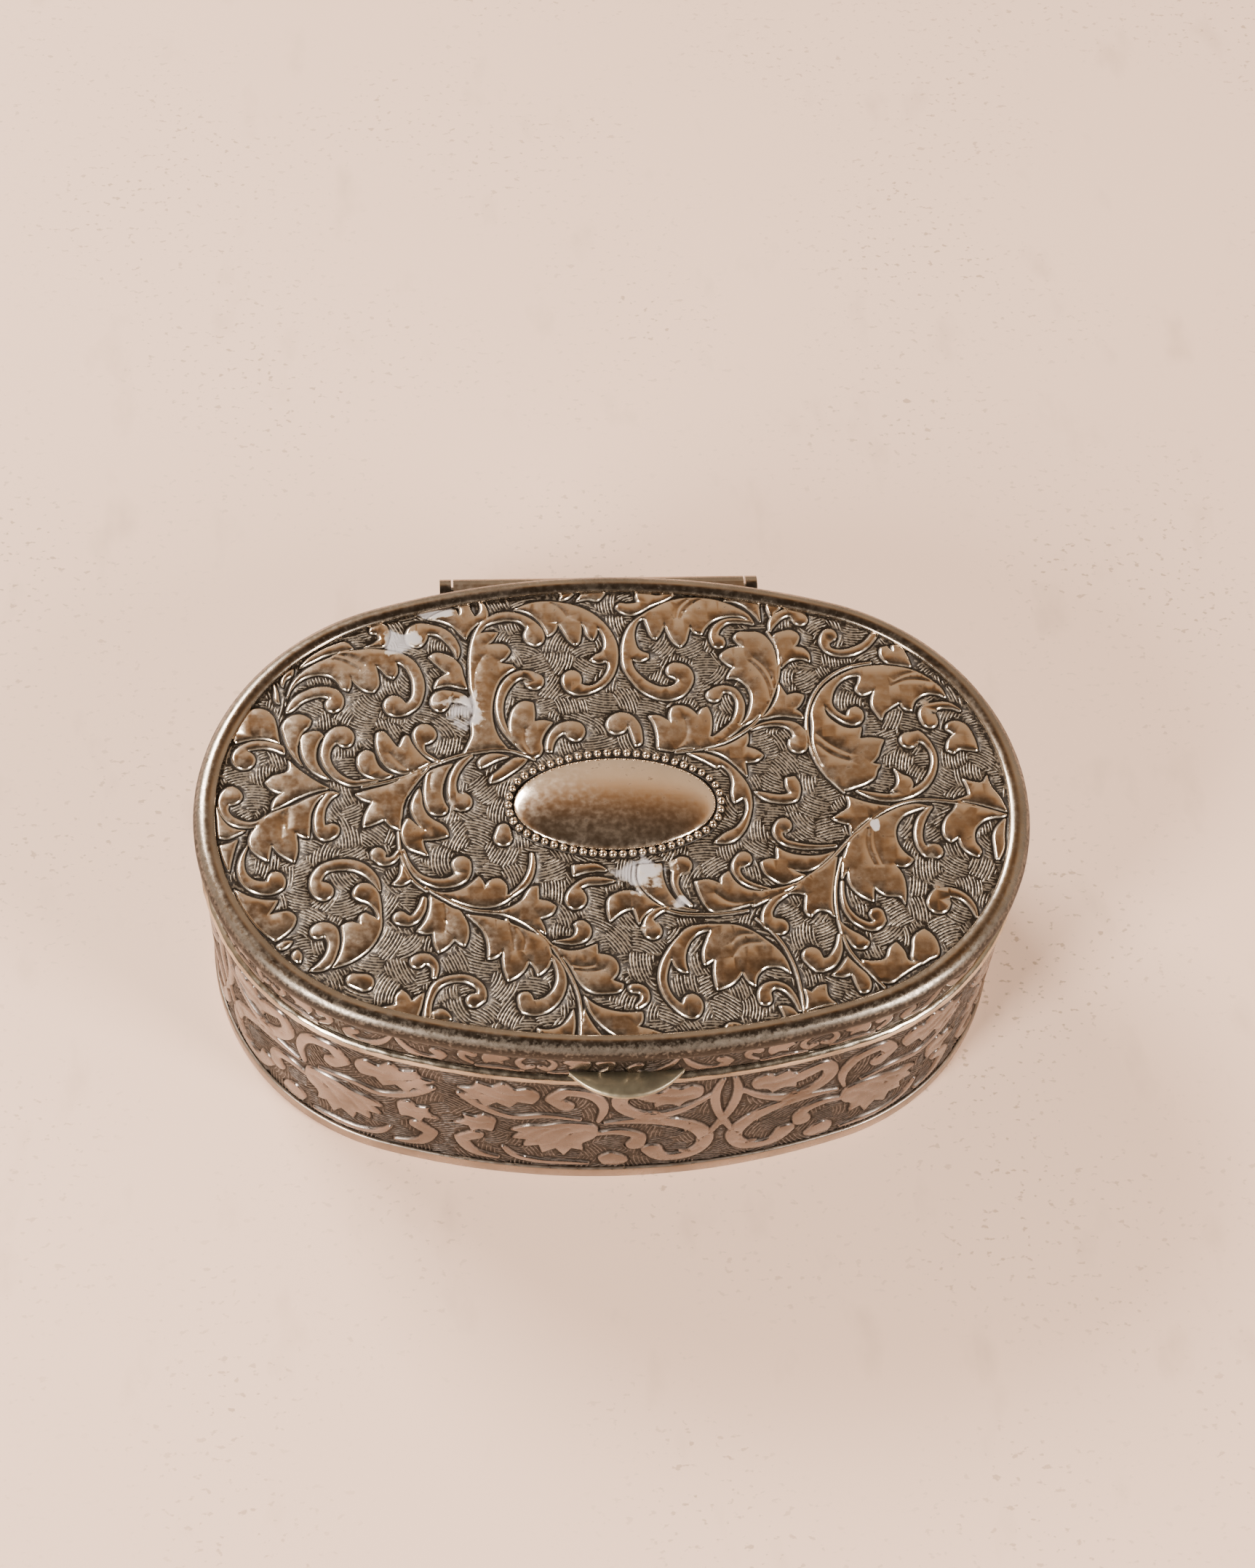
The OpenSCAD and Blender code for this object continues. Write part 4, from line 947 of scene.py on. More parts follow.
# narrow cuts that run along a spine
LID_GROOVES = [
    [(-9.3, 9.7, .08), (-9.4, 8.2, .13), (-8.8, 6.8, .08)],
    [(8.2, 10.6, .06), (8.3, 9.2, .17), (7.8, 7.8, .14), (7, 6.9, .06)],
    [(-13.8, 19.2, .06), (-14.6, 17.4, .1), (-14.7, 15.2, .08)],
    [(16.4, 18.6, .06), (17.4, 17.5, .12), (18.1, 16, .12), (18.3, 14.6, .06)],
    [(16, 18, .06), (17, 16.6, .1), (17.6, 15, .1), (17.8, 13.2, .06)],
    [(9.4, 26.6, .06), (8.4, 25.6, .12), (8, 24.2, .1)],
    [(10.8, 26.6, .06), (9.4, 25.6, .12), (8.6, 24.2, .1)],
    [(-5.8, 26.4, .05), (-4.8, 25.6, .1), (-4.2, 24.6, .06)],
    [(31.8, 15.4, .07), (33, 16.1, .13), (34.3, 16.4, .07)],
    [(31.4, 14.6, .07), (33, 15.3, .13), (36, 15, .07)],
    [(22.6, 8.4, .06), (24, 7, .12), (26, 5.8, .1)],
    [(22.6, 7, .06), (24, 5.7, .14), (25.8, 4.9, .1)],
    [(27, -3.8, .06), (26.7, -5.6, .14), (27.3, -8.2, .06)],
    [(27.7, -3.8, .06), (27.6, -5.8, .14), (28.2, -8.2, .06)],
    [(10.1, -11.3, .07), (11.6, -12.4, .14), (14, -12.3, .08)],
    [(11.3, -17.3, .06), (12.2, -16.4, .13), (13.6, -16.3, .06)],
    [(11.3, -19, .08), (12.4, -17.6, .16), (14.4, -17.3, .08)],
    [(-12, -13.9, .08), (-11.6, -15.4, .15), (-11.4, -17.6, .06)],
    [(-10.9, -15, .06), (-10.3, -16, .12), (-10.4, -17.6, .06)],
    [(-5.3, -19.5, .05), (-4.4, -19.7, .1), (-3.2, -19.6, .05)],
    [(-5, -20.1, .05), (-3.8, -20.3, .1), (-2.2, -20.1, .05)],
    [(-18.6, -11.9, .1), (-18.4, -13.2, .12), (-18.6, -15.2, .07)],
    [(-19.6, 4.2, .07), (-19.8, 3.1, .09), (-19.7, 2.2, .05)],
]
# thin raised stems between two dark grooves
LID_STEMS = [
    [(-8.4, 5.9, .06), (-11, 7.05, .09), (-15, 6.9, .1), (-19.5, 5.4, .1), (-22.4, 4, .09),
     (-27, 2.8, .08)],
    [(24.9, 1, .07), (22.4, 4.6, .1), (21.6, 8, .1), (21.8, 11.4, .1), (23.4, 14.8, .1),
     (26.4, 17.1, .1), (29.4, 17.8, .08)],
    [(18.2, 22.2, .07), (19.1, 20, .1), (19.1, 17.2, .1), (18.2, 14, .1), (16.4, 10.7, .1),
     (13, 8, .1), (7, 6.5, .07)],
    [(14, -12.8, .08), (18, -10.8, .1), (22, -8, .1), (26, -3.9, .1), (29.5, -1.2, .1),
     (32, -.3, .1), (36, -.4, .09), (42.2, -2.3, .07)],
    [(23.9, -7.2, .07), (22.9, -11, .1), (22.9, -15, .1), (23.8, -18.6, .1), (25.5, -21, .09),
     (27, -22.9, .06)],
    [(1.7, -7.8, .07), (1.6, -9.4, .1), (2.8, -11.6, .1), (5, -13.2, .1), (9, -13.8, .1),
     (13.4, -13.4, .08)],
    [(14.2, -14.4, .07), (16.4, -16.9, .1), (17.7, -20, .1), (18.2, -23, .1), (18.3, -26, .07)],
    [(-20.4, -9.8, .08), (-16, -12.5, .1), (-12, -13.3, .1), (-8.4, -15.9, .1), (-6, -19.8, .1),
     (-4.9, -23, .1), (-4.9, -27.8, .07)],
    [(-23.2, -3, .07), (-22.9, -6, .1), (-21.8, -8.8, .1), (-20.3, -10.2, .08)],
    [(-19.9, 5, .06), (-21.2, 3.4, .09), (-22.6, 1, .1), (-23.1, -2.6, .08)],
]


def grid_points(low, high, step, allowed):
    """Loose points that keep a sheet's triangles small."""
    x = np.arange(low[0] + step / 2, high[0], step)
    y = np.arange(low[1] + step / 2, high[1], step)
    points = np.stack(np.meshgrid(x, y), -1).reshape(-1, 2)
    return points[allowed(points)]


def patches_over(low, high, spacing, seed):
    """Hatching patches on a loose grid, each with a direction and a bend."""
    chance = random.Random(seed)
    found = []
    rows = math.ceil((high[1] - low[1]) / (spacing * 0.87))
    columns = math.ceil((high[0] - low[0]) / spacing)
    for row in range(rows + 1):
        for column in range(columns + 1):
            x = low[0] + (column + 0.5 * (row % 2) + chance.uniform(-0.3, 0.3)) * spacing
            y = low[1] + (row + chance.uniform(-0.3, 0.3)) * spacing * 0.87
            direction = 90 * ((row + column) % 2) + chance.uniform(-38, 38)
            found.append((x, y, direction, chance.choice([-1, 1]) * chance.uniform(3.5, 9)))
    return found


def lid_plate():
    """The embossed top plate, closed below."""
    tucked = 0.12  # how far the plate reaches under the rim
    clear = 0.25  # how far the strokes and loose points keep from its edge
    inset = HALF_L - PLATE_HIGH[0] - tucked
    top, under = PLATE_HIGH[2], PLATE_LOW[2]
    steps = 420
    run = np.arange(steps) / steps * BOX.round()
    border = BOX.points(run, inset)
    keep_off = BOX.points(run, inset + clear)
    boss = Oval(BORDER_HIGH[0], BORDER_HIGH[1], BORDER_HIGH[1] * 0.72)
    boss_line = boss.points(np.arange(120) / 120 * boss.round(), 0.3)
    ground = top - 0.1

    def open_ground(points):
        return is_inside(points, keep_off) & ~is_inside(points, boss_line)

    relief = Relief([Outline(p) for p in LID_LEAVES] + [Band(p) for p in LID_SCROLLS + LID_STEMS],
                    [Outline(p, 0.25) for p in LID_VEINS] + [Band(p) for p in LID_GROOVES])
    extra = grid_points(-np.array([HALF_L, HALF_D]), [HALF_L, HALF_D], 1.3,
                        lambda p: is_inside(p, keep_off))
    flat, faces, distance = relief.surface(border, extra)
    height, patina_and_shade = relief.heights(distance)
    sheet = np.column_stack([flat, ground + height])
    patches = patches_over((-HALF_L, -HALF_D), (HALF_L, HALF_D), 3.1, 5)
    marks, mark_faces, mark_patina = relief.hatching(patches, open_ground)
    marks[:, 2] += ground
    skin = np.column_stack([border, np.full(steps, ground)])
    below = np.column_stack([border, np.full(steps, under)])
    vertices, all_faces = joined((sheet, faces), (marks, mark_faces), strips([below, skin]),
                                 (below, [tuple(range(steps - 1, -1, -1))]))
    tone = np.concatenate([patina_and_shade, mark_patina, np.full(3 * steps, 0.3)])
    piece = make_piece("lid_scroll_plate", vertices, all_faces, "lid", ["lid_top_plate"],
                       tone)
    dressed(piece, CHASED, INSIDE)
    piece.data.polygons[-1].material_index = 1
    return piece


# ---------------------------------------------------------------- wall and skirt

# One repeat of the wall's scrolls, as points of (run, height). Every other repeat is mirrored.
WALL_REPEAT = 29.6
# how far the repeats are moved along, so that no mirror line falls on the thumb piece
PHASE = 0.37
WALL_LEAVES = [
    [(13.8, 12.6), (15.6, 13.2), (17.6, 13), (19.4, 12.2), (21, 11.9), (22.6, 10.6), (21.4, 10.2),
     (22.4, 8.6), (20.8, 8.6), (21.2, 6.8), (19.6, 7.4), (19.2, 5.4), (17.8, 6.8), (16.8, 5),
     (16, 7), (14.8, 6.4), (14.8, 8.4), (13.8, 9.4), (13.4, 11)],
    [(19.8, 19.4), (21, 20.9), (22.4, 20.2), (23.6, 21.6), (24.8, 20.4), (26.4, 21.2),
     (26.8, 19.8), (28.4, 19.4), (27.2, 18.4), (28, 16.8), (26.2, 17.2), (25.4, 15.6),
     (24.2, 17), (22.8, 16), (22, 17.6), (20.4, 17.4)],
    [(2.8, 20.4), (4, 21.4), (5, 20.6), (6.4, 21.4), (7, 20.2), (8.3, 20.2), (8, 19.2),
     (8.8, 18.4), (7.6, 18), (7.6, 16.8), (6.2, 17.4), (5, 16.6), (4.2, 17.9), (3, 18.4)],
    [(24.4, 12.6), (25.6, 13.6), (26.4, 12.6), (27.8, 13), (27.6, 11.6), (28.8, 10.6),
     (27.2, 10.4), (26.8, 9), (25.6, 10), (24.6, 9.6), (24.4, 11)],
    [(10.4, 4.8), (11.8, 5.8), (13, 4.4), (12.6, 2.9), (10.6, 2.8), (9.8, 3.6)],
]
WALL_SCROLLS = [
    [(0.6, 21.8, .2), (1.2, 18.4, .45), (0.8, 14.6, .45), (-0.4, 11, .35), (-1.6, 8, .2)],
    [(1.6, 18.6, .2), (4.4, 15.8, .5), (7.6, 14.6, .75), (10.2, 15.8, .8), (11.4, 18.2, .8),
     (10.4, 20.6, .8), (8.6, 19.6, 1)],
    [(12.6, 13.2, .2), (9.2, 13.6, .6), (5.2, 12.6, .85), (2.4, 10, .9), (1.6, 6.8, .85),
     (3.2, 4.2, .8), (6, 4, .8), (7.4, 6.2, 1.1)],
    [(13.6, 10.4, .25), (11.2, 11, .6), (9, 9.6, .7), (9.2, 7.6, 1)],
    [(13.4, 13.6, .2), (13, 17, .5), (14.6, 20, .7), (17.2, 20.6, .75), (18.4, 18.6, .8),
     (17, 17.2, .95)],
    [(15.4, 14, .2), (19, 14.6, .4), (22.6, 13.8, .45), (25.6, 15.2, .5), (28.2, 17.8, .3)],
    [(24, 3.2, .25), (26.8, 4.2, .6), (28, 6.8, .7), (26.4, 8.2, .85)],
    [(14.2, 3, .2), (16.4, 3.1, .4), (19.6, 3.2, .4), (22.2, 4.2, .4), (23.4, 6, .2)],
]
WALL_GROOVES = [
    [(14.6, 11.4, .1), (16.4, 10.2, .22), (17.6, 8.2, .08)],
    [(16.6, 12, .1), (18.6, 10.6, .22), (19.8, 8.6, .08)],
    [(18.8, 11.6, .08), (20.4, 10.4, .18), (21.2, 9, .06)],
    [(21.6, 19.2, .08), (23.2, 18.9, .2), (24.6, 19.8, .08)],
    [(23.6, 17.6, .08), (25.2, 18.2, .2), (26.6, 19.4, .08)],
    [(3.8, 19.2, .08), (5.2, 18.9, .2), (7, 19.4, .08)],
    [(7.6, 13.9, .08), (6.6, 13, .2), (6.4, 12.2, .06)],
    [(3.8, 12.4, .08), (3.4, 11, .2), (3.9, 10.2, .06)],
    [(1.4, 8.6, .08), (2.2, 7.6, .2), (2.3, 6.4, .06)],
    [(2, 5.6, .08), (3, 5, .2), (4.2, 5.1, .06)],
    [(6, 14.2, .06), (7.4, 15.2, .2), (9, 15.2, .06)],
    [(10.6, 16.8, .06), (11, 18, .2), (10.6, 19.2, .06)],
    [(25, 11.8, .06), (26.2, 11.2, .18), (27.4, 11.6, .06)],
]

# One repeat of the skirt's small scrolls.
SKIRT_REPEAT = 14.75
SKIRT_LEAVES = [
    [(9.4, 27.6), (11.2, 27.9), (12, 27.2), (11.2, 26.6), (11.4, 25.9), (10.3, 26.2),
     (9.6, 25.6), (9.2, 26.6)],
]
SKIRT_SCROLLS = [
    [(0.2, 27.9, .1), (1, 26.3, .35), (2.5, 25, .45), (4.4, 24.9, .5), (5.1, 25.9, .5),
     (4.3, 26.5, .55)],
    [(13.4, 24.7, .12), (11.2, 24.9, .3), (8.6, 24.8, .12)],
    [(8.2, 25.2, .12), (7, 26.7, .35), (7.4, 27.6, .4), (8.2, 27.1, .45)],
    [(13.6, 27.8, .1), (12.9, 26.4, .3), (13.6, 25.4, .35), (14.3, 25.9, .35)],
]


def placed(points, k, repeats, repeat, stretch):
    """A repeat's shape at the kth place along the run, mirrored at every other place."""
    shift = (k - repeats / 2 + PHASE) * repeat
    mirrored = k % 2 == 1
    out = []
    for x, *rest in points:
        out.append((((repeat - x if mirrored else x) + shift) * stretch, *rest))
    return out


def band_shapes(length, repeat, leaves, scrolls, grooves):
    """The raised and the cut shapes of all the repeats that fit round a wall."""
    repeats = 2 * round(length / repeat / 2)
    stretch = length / repeats / repeat
    half = length / 2
    raised, cut = [], []
    for k in range(-1, repeats + 1):
        for points, kind, shapes in ([(p, Outline, raised) for p in leaves]
                                     + [(p, Band, raised) for p in scrolls]
                                     + [(p, Band, cut) for p in grooves]):
            moved = placed(points, k, repeats, repeat, stretch)
            # a shape that crosses the seam at the back is made at both ends of the run
            if max(p[0] for p in moved) > -half - 1 and min(p[0] for p in moved) < half + 1:
                shapes.append(kind(moved, 0.5))
    return raised, cut


def rectangle(half, bottom, top, steps):
    """The unrolled wall's border, with that many steps along it and one each 0.8 mm up it."""
    across = np.linspace(-half, half, steps + 1)
    up = np.linspace(bottom, top, max(4, round((top - bottom) / 0.8)))
    return np.concatenate([
        np.column_stack([across[:-1], np.full(steps, bottom)]),
        np.column_stack([np.full(len(up) - 1, half), up[:-1]]),
        np.column_stack([across[:0:-1], np.full(steps, top)]),
        np.column_stack([np.full(len(up) - 1, -half), up[:0:-1]]),
    ])


def chased_band(name, node, thick, shapes, repeat, grain, lift, spacing):
    """An upright wall of the box as a closed shell with scrolls raised on its outer face. It is
    worked out unrolled, as (run, height), and then wrapped round the box. The two ends of the
    run meet at the back."""
    low, high = limits(node)
    bottom, top = low[2], high[2]
    inset = HALF_L - high[0]
    ground = inset + 0.06  # the ground lies a little inside the CAD wall's outer face
    length = BOX.round(inset)
    half = length / 2
    steps = 400
    relief = Relief(*band_shapes(length, repeat, *shapes), lift, seed=16)

    def wrapped(points, above):
        """Points of (run, height) on the wall, raised above its ground."""
        outer = BOX.points(points[:, 0], ground - above, inset)
        return np.column_stack([outer, points[:, 1]])

    def inside_by(points, margin):
        """Which points lie at least that far inside the unrolled wall's border."""
        lower = np.array([-half, bottom]) + margin
        upper = np.array([half, top]) - margin
        return ((points > lower) & (points < upper)).all(1)

    border = rectangle(half, bottom, top, steps)
    extra = grid_points((-half, bottom), (half, top), grain, lambda p: inside_by(p, 0.15))
    flat, faces, distance = relief.surface(border, extra)
    height, patina_and_shade = relief.heights(distance)
    # no relief at the upper and lower edges, which meet other pieces
    edge = np.minimum(flat[:, 1] - bottom, top - flat[:, 1])
    height = np.where(edge < 0.12, 0.0, height)
    patches = patches_over((-half, bottom), (half, top), spacing, 11)
    marks, mark_faces, mark_patina = relief.hatching(patches, lambda p: inside_by(p, 0.3),
                                                     pitch=0.46, width=0.24, rise=0.08, reach=3)
    run = np.linspace(-half, half, steps + 1)[:-1]
    rings = [(ground, bottom), (inset + thick, bottom), (inset + thick, top), (ground, top)]
    shell = strips([np.column_stack([BOX.points(run, d, inset), np.full(steps, z)])
                    for d, z in rings])
    vertices, all_faces = joined((wrapped(flat, height), faces),
                                 (wrapped(marks[:, :2], marks[:, 2]), mark_faces), shell)
    tone = np.concatenate([patina_and_shade, mark_patina, np.full(len(shell[0]), 0.25)])
    body = "lid" if node.startswith("lid") else "base"
    piece = make_piece(name, vertices, all_faces, body, [node], tone)
    return dressed(piece, SOFT)


def walls():
    """The base wall with its worn scrolls, and the lid's skirt."""
    chased_band("base_scroll_wall", "base_wall", thick=1.05,
                shapes=(WALL_LEAVES, WALL_SCROLLS, WALL_GROOVES), repeat=WALL_REPEAT,
                grain=1.6, lift=0.26, spacing=3.0)
    chased_band("lid_scroll_skirt", "lid_skirt", thick=0.6,
                shapes=(SKIRT_LEAVES, SKIRT_SCROLLS, []), repeat=SKIRT_REPEAT,
                grain=1.2, lift=0.16, spacing=2.2)


def mouth_wire():
    """The round wire at the mouth, dented all round by wear."""
    radius = (WIRE_HIGH[2] - WIRE_LOW[2] + 0.2) / 2
    middle = WIRE_HIGH[2] - radius
    inset = HALF_L - WIRE_HIGH[0] + radius
    chance = random.Random(21)
    dents = [(chance.uniform(0, 6.28), chance.uniform(0.4, 1.3)) for _ in range(5)]
    angles = np.radians(np.arange(0, 360, 20))
    profile = [(inset - radius * math.cos(a), max(middle + radius * math.sin(a), WIRE_LOW[2]))
               for a in angles]

    def wobble(run, k):
        total = sum(np.sin(run * rate * 2.2 + start + 0.9 * k) for start, rate in dents)
        return 0.014 + 0.011 * total

    vertices, faces = swept_ring(BOX, profile, 900, wobble)
    piece = make_piece("base_mouth_bead", vertices, faces, "base", ["base_mouth_wire"])
    return dressed(piece, WORN)


def foot_band():
    """The plain foot band, with rounded edges."""
    low, high = FOOT_LOW[2], FOOT_HIGH[2]
    inset = HALF_L - FOOT_HIGH[0]
    inner = HALF_L - WALL_HIGH[0]
    edge = 0.3
    corner = [(inset + edge - edge * math.cos(a), edge - edge * math.sin(a))
              for a in np.radians([0, 30, 60, 90])]
    lower = [(x, low + z) for x, z in corner]
    upper = [(x, high - z) for x, z in reversed(corner)]
    profile = lower + [(inner, low), (inner, high)] + upper

    def wobble(run, k):
        return 0.01 * np.sin(run / 2.3 + k) * np.sin(run / 5.9)

    vertices, faces = swept_ring(BOX, profile, 600, wobble)
    piece = make_piece("base_foot_moulding", vertices, faces, "base", ["base_foot_band"])
    return dressed(piece, FOOT)


def thumb_piece():
    """The thumb piece: a lens-shaped tab, dished on top, with a rounded and rubbed edge."""
    low, high = THUMB_LOW, THUMB_HIGH
    middle = (low[2] + high[2]) / 2
    half_thick = (high[2] - low[2]) / 2 - 0.01
    half = high[0]
    columns = 60
    # the section from root to front edge and back: (share of the reach, share of the thickness)
    levels = [(0.0, 1.0), (0.6, 1.0), (0.86, 0.9), (0.96, 0.6), (1.0, 0.0), (0.96, -0.6),
              (0.86, -0.9), (0.6, -1.0), (0.0, -1.0)]
    vertices = []
    for c in range(columns + 1):
        x = -half + 2 * half * c / columns
        back = skirt_front(x) + 0.05
        front = back - (back - low[1]) * max(0.0, 1 - (x / half) ** 2) ** 0.85
        for reach, level in levels:
            z = middle + half_thick * level
            if level > 0:
                z -= abs(0.02 * math.sin(9.1 * x + 5 * reach) * math.sin(3.3 * x))
            if level > 0.95:
                z -= 0.06 * math.sin(math.pi * reach)
            vertices.append((x, back + (front - back) * reach, z))
    count = len(levels)
    faces = []
    for c in range(columns):
        for m in range(count - 1):
            a = c * count + m
            faces.append((a, a + 1, a + count + 1, a + count))
        a = c * count
        faces.append((a + count - 1, a, a + count, a + 2 * count - 1))
    piece = make_piece("lid_thumb_tab", vertices, faces, "lid", ["lid_thumb_piece"])
    return dressed(piece, TAB)


def skirt_front(x):
    """The y of the skirt's outer face at the front, at x."""
    reach = BOX.side_radius - (HALF_L - SKIRT_HIGH[0])
    return BOX.side_centre - math.sqrt(reach ** 2 - x ** 2)


def lid_rim():
    """The rounded rim moulding, a little uneven with wear."""
    radius = (RIM_HIGH[2] - SKIRT_HIGH[2] + 0.2) / 2
    middle = RIM_HIGH[2] - radius
    width = HALF_L - PLATE_HIGH[0]
    angles = np.radians(np.linspace(-60, 240, 40))
    profile = [(radius - radius * math.cos(a), middle + radius * math.sin(a)) for a in angles]
    profile = [(min(x, width), max(z, SKIRT_HIGH[2])) for x, z in profile]

    def wobble(run, k):
        return 0.012 * np.sin(run / 1.7 + k) * np.sin(run / 4.3)

    # painted shade: the rim is darkened on its outer, downward-facing half, and tarnish sits in the
    # creases where it meets the skirt and the plate
    tone = np.interp(np.degrees(angles), [-60, 0, 25, 50, 90, 150, 200],
                     [0.98, 0.95, 0.85, 0.5, 0.15, 0.3, 0.9])
    steps = 720
    vertices, faces = swept_ring(BOX, profile, steps, wobble)
    piece = make_piece("lid_rim_moulding", vertices, faces, "lid", ["lid_rim"],
                       np.tile(tone, steps))
    return dressed(piece, RIM)


def boss():
    """The plain domed boss."""
    half_l, half_d = BOSS_HIGH[0], BOSS_HIGH[1]
    base, rise = PLATE_HIGH[2], BOSS_HIGH[2] - PLATE_HIGH[2]
    rings, around = 26, 160
    vertices = [(0.0, 0.0, base + rise)]
    faces = []
    for r in range(1, rings + 1):
        share = math.sin(math.pi / 2 * r / rings)
        for k in range(around):
            a = 2 * math.pi * k / around
            z = base + rise * math.sqrt(max(0.0, 1 - share ** 2))
            vertices.append((half_l * share * math.cos(a), half_d * share * math.sin(a), z))
    for k in range(around):
        faces.append((0, 1 + k, 1 + (k + 1) % around))
    for r in range(rings - 1):
        for k in range(around):
            a, b = 1 + r * around + k, 1 + r * around + (k + 1) % around
            faces.append((a, a + around, b + around, b))
    faces.append(tuple(range(1 + rings * around - 1, (rings - 1) * around, -1)))
    dome = make_piece("lid_boss_dome", vertices, faces, "lid", ["lid_boss"])
    return dressed(dome, DOME)


def ball(centre, radius, rings=8, around=14):
    """The upper part of a bead as vertices and faces, reaching a little below its middle."""
    vertices = [(centre[0], centre[1], centre[2] + radius)]
    for r in range(1, rings + 1):
        tilt = math.radians(105) * r / rings
        for k in range(around):
            a = 2 * math.pi * k / around
            vertices.append((centre[0] + radius * math.sin(tilt) * math.cos(a),
                             centre[1] + radius * math.sin(tilt) * math.sin(a),
                             centre[2] + radius * math.cos(tilt)))
    faces = [(0, 1 + k, 1 + (k + 1) % around) for k in range(around)]
    for r in range(rings - 1):
        for k in range(around):
            a, b = 1 + r * around + k, 1 + r * around + (k + 1) % around
            faces.append((a, a + around, b + around, b))
    return np.array(vertices), faces


def boss_border():
    """The flat strip round the boss and its row of beads."""
    strip_width = 0.9
    strip_rise = 0.12
    sunk = 0.2
    radius = 0.44
    count = 54
    top = PLATE_HIGH[2]
    outer = Oval(BORDER_HIGH[0], BORDER_HIGH[1], (BORDER_HIGH[1] - strip_width / 2) * 0.7
                 + strip_width / 2)
    section = [(-0.1, top - sunk), (0.1, top + strip_rise), (0.8, top + strip_rise),
               (1.1, top - sunk)]
    strip = swept_ring(outer, section, 240)
    length = outer.round(strip_width / 2)
    run = (np.arange(count) + 0.5) / count * length
    chance = random.Random(8)
    parts = [strip]
    patina_and_shade = [np.full(len(strip[0]), 0.95)]
    for x, y in outer.points(run, strip_width / 2, strip_width / 2):
        size = radius * chance.uniform(0.94, 1.03)
        bead = ball((x, y, top + 0.2), size)
        parts.append(bead)
        # painted shade: each bead darkens from its middle down to its foot, with tarnish where it meets
        # the strip, and is clean from 0.3 mm up
        patina_and_shade.append(np.interp(bead[0][:, 2], [top + strip_rise, top + 0.42], [1.0, 0.05]))
    vertices, faces = joined(*parts)
    piece = make_piece("lid_boss_beads", vertices, faces, "lid", ["lid_boss_border"],
                       np.concatenate(patina_and_shade))
    return dressed(piece, CHASED)


# ---------------------------------------------------------------- floor, light and camera

def table_top():
    """The plain pale floor."""
    size = 3.0
    mesh = bpy.data.meshes.new("table_top")
    mesh.from_pydata([(-size, -size, 0), (size, -size, 0), (size, size, 0), (-size, size, 0)],
                     [], [(0, 1, 2, 3)])
    floor = bpy.data.objects.new("table_top", mesh)
    bpy.context.scene.collection.objects.link(floor)
    dressed(floor, stone("pale stone"))


def soft_light(name, place, aim, size, power, colour):
    """A rectangular soft light that faces a point."""
    data = bpy.data.lights.new(name, "AREA")
    data.shape = "RECTANGLE"
    data.size, data.size_y = size
    data.energy = power
    data.color = colour
    lamp = bpy.data.objects.new(name, data)
    lamp.location = place
    lamp.rotation_mode = "QUATERNION"
    lamp.rotation_quaternion = (Vector(aim) - Vector(place)).to_track_quat("-Z", "Y")
    bpy.context.scene.collection.objects.link(lamp)


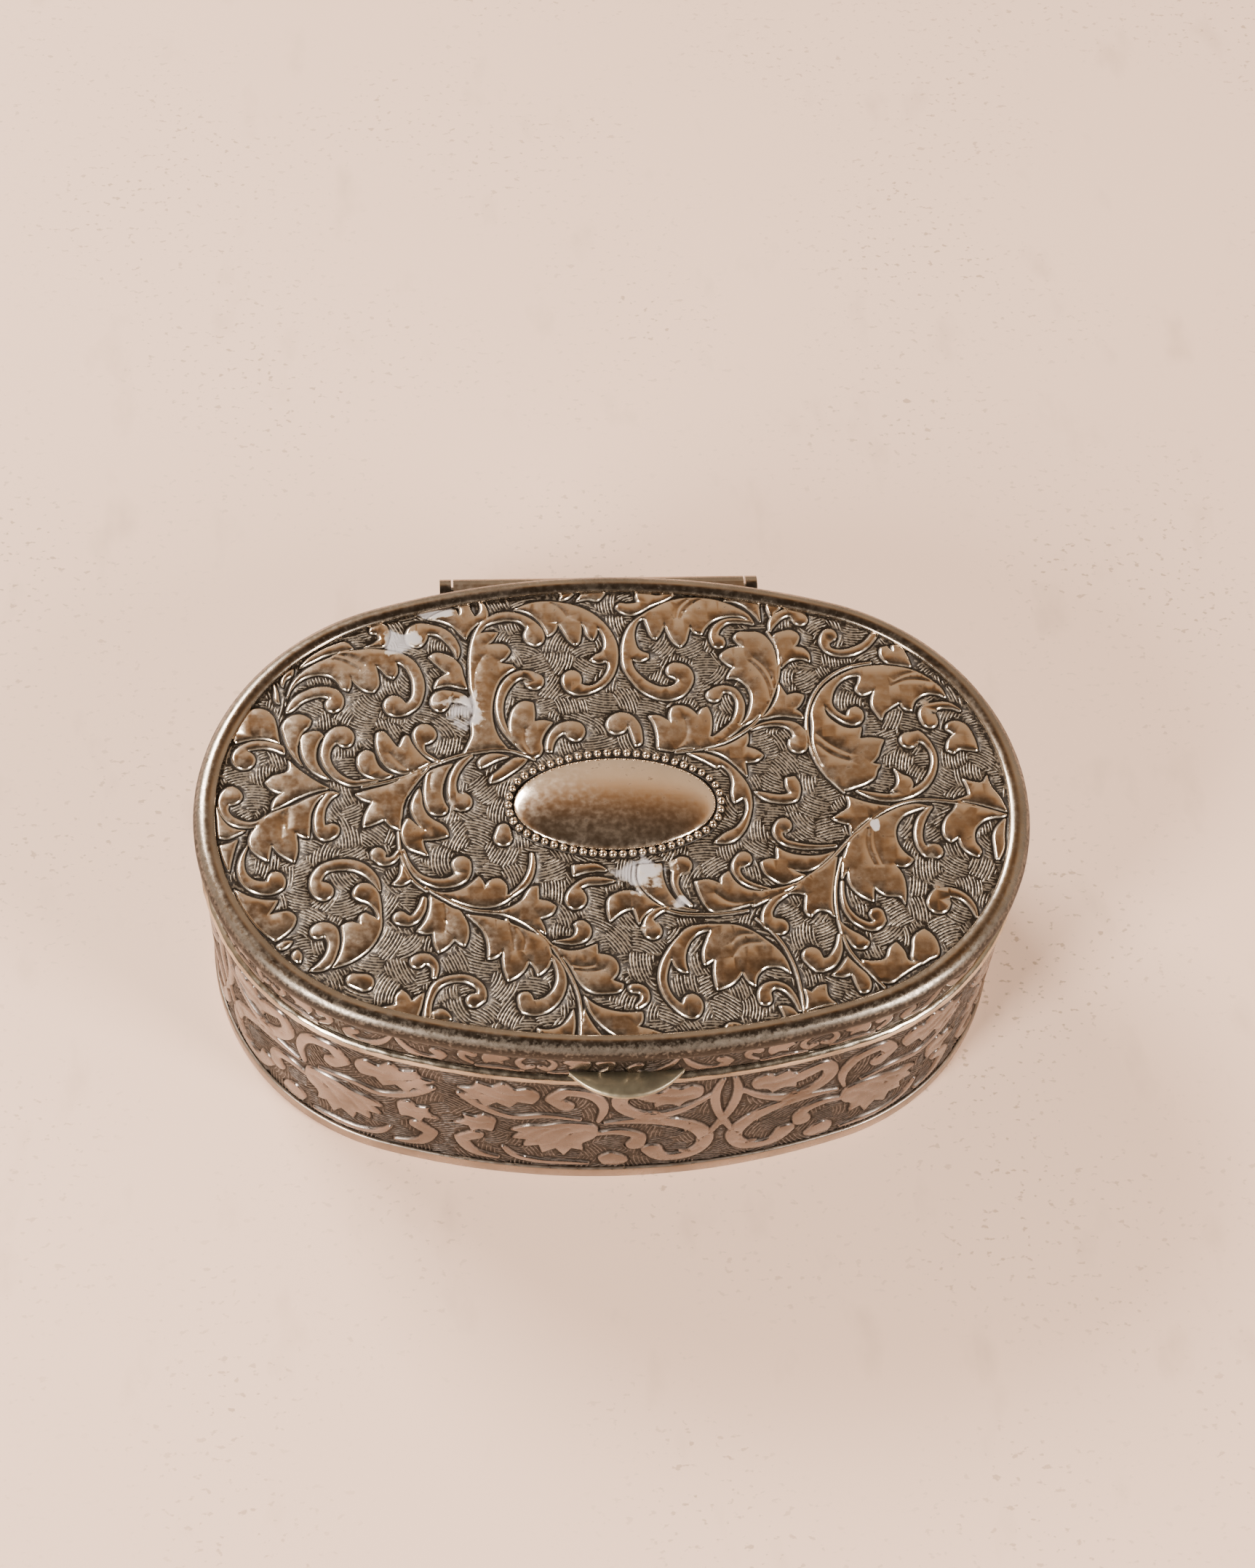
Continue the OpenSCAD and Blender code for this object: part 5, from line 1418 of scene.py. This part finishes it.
def room():
    """A warm room: paler low down behind the box, darker overhead and dark in front of it."""
    world = bpy.data.worlds.new("room")
    world.use_nodes = True
    bpy.context.scene.world = world
    tree = world.node_tree
    place = tree.nodes.new("ShaderNodeTexCoord")
    split = tree.nodes.new("ShaderNodeSeparateXYZ")
    ramp = tree.nodes.new("ShaderNodeValToRGB")
    tree.links.new(place.outputs["Generated"], split.inputs[0])
    tree.links.new(split.outputs["Z"], ramp.inputs[0])
    stops = [(0.0, (0.72, 0.6, 0.48, 1)), (0.70, (0.86, 0.65, 0.47, 1)),
             (0.78, (0.72, 0.48, 0.30, 1)), (0.83, (0.40, 0.225, 0.115, 1)),
             (0.89, (0.17, 0.10, 0.06, 1)), (0.95, (0.085, 0.06, 0.042, 1))]
    while len(ramp.color_ramp.elements) < len(stops):
        ramp.color_ramp.elements.new(0.5)
    for element, (position, colour) in zip(ramp.color_ramp.elements, stops):
        element.position = position
        element.color = colour
    front = tree.nodes.new("ShaderNodeMapRange")
    tree.links.new(split.outputs["Y"], front.inputs["Value"])
    for socket, value in (("From Min", 0.12), ("From Max", -0.3), ("To Min", 0.0),
                          ("To Max", 0.85)):
        front.inputs[socket].default_value = value
    mix = tree.nodes.new("ShaderNodeMix")
    mix.data_type = "RGBA"
    tree.links.new(front.outputs["Result"], mix.inputs[0])
    tree.links.new(ramp.outputs[0], mix.inputs[6])
    mix.inputs[7].default_value = (0.06, 0.045, 0.034, 1)
    background = tree.nodes["Background"]
    tree.links.new(mix.outputs[2], background.inputs[0])
    background.inputs[1].default_value = 0.85


def lights():
    """Soft lights at the front left, the front right and the back left."""
    warm = (1, 0.95, 0.9)
    aim = (0, 0, 0.02)
    soft_light("front left", (-0.42, -0.4, 0.34), aim, (0.16, 0.3), 7.5, warm)
    soft_light("front right", (0.46, -0.36, 0.36), aim, (0.16, 0.3), 5.5, warm)
    soft_light("back left", (-0.5, 0.6, 0.6), aim, (0.4, 0.3), 15, warm)


def camera():
    """The photograph's view: from above the front, turned and tipped a little."""
    distance, elevation, yaw, roll = 328.25, 58.01, 7.51, -5.31
    shift_x, shift_y = -1.15, -11.45
    focal = 4014.17
    image_height = 2156
    aim = Vector((0, 0, 13))
    e, y, r = math.radians(elevation), math.radians(yaw), math.radians(roll)
    look = Matrix(((1, 0, 0), (0, math.sin(e), math.cos(e)), (0, -math.cos(e), math.sin(e))))
    turn = Matrix(((math.cos(y), -math.sin(y), 0), (math.sin(y), math.cos(y), 0), (0, 0, 1)))
    tip = Matrix(((math.cos(r), -math.sin(r), 0), (math.sin(r), math.cos(r), 0), (0, 0, 1)))
    steady = look @ turn
    place = aim - steady.transposed() @ Vector((shift_x, shift_y, -distance))
    axes = (tip @ steady).transposed()
    data = bpy.data.cameras.new("camera")
    data.sensor_width = 36
    data.lens = 36 * focal / image_height
    data.clip_start, data.clip_end = 0.01, 20
    eye = bpy.data.objects.new("camera", data)
    eye.matrix_world = Matrix.Translation(place * MM) @ axes.to_4x4()
    bpy.context.scene.collection.objects.link(eye)
    bpy.context.scene.camera = eye


# ---------------------------------------------------------------- the whole box

lid_plate()
lid_rim()
boss()
boss_border()
walls()
mouth_wire()
foot_band()
thumb_piece()
for node, material in (("base_floor", INSIDE), ("base_inner_lip", INSIDE),
                       ("hinge_base_leaf", POLISHED), ("hinge_pin", STEEL),
                       ("hinge_lid_leaf", POLISHED)):
    dressed(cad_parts[node], material)
table_top()
room()
lights()
camera()
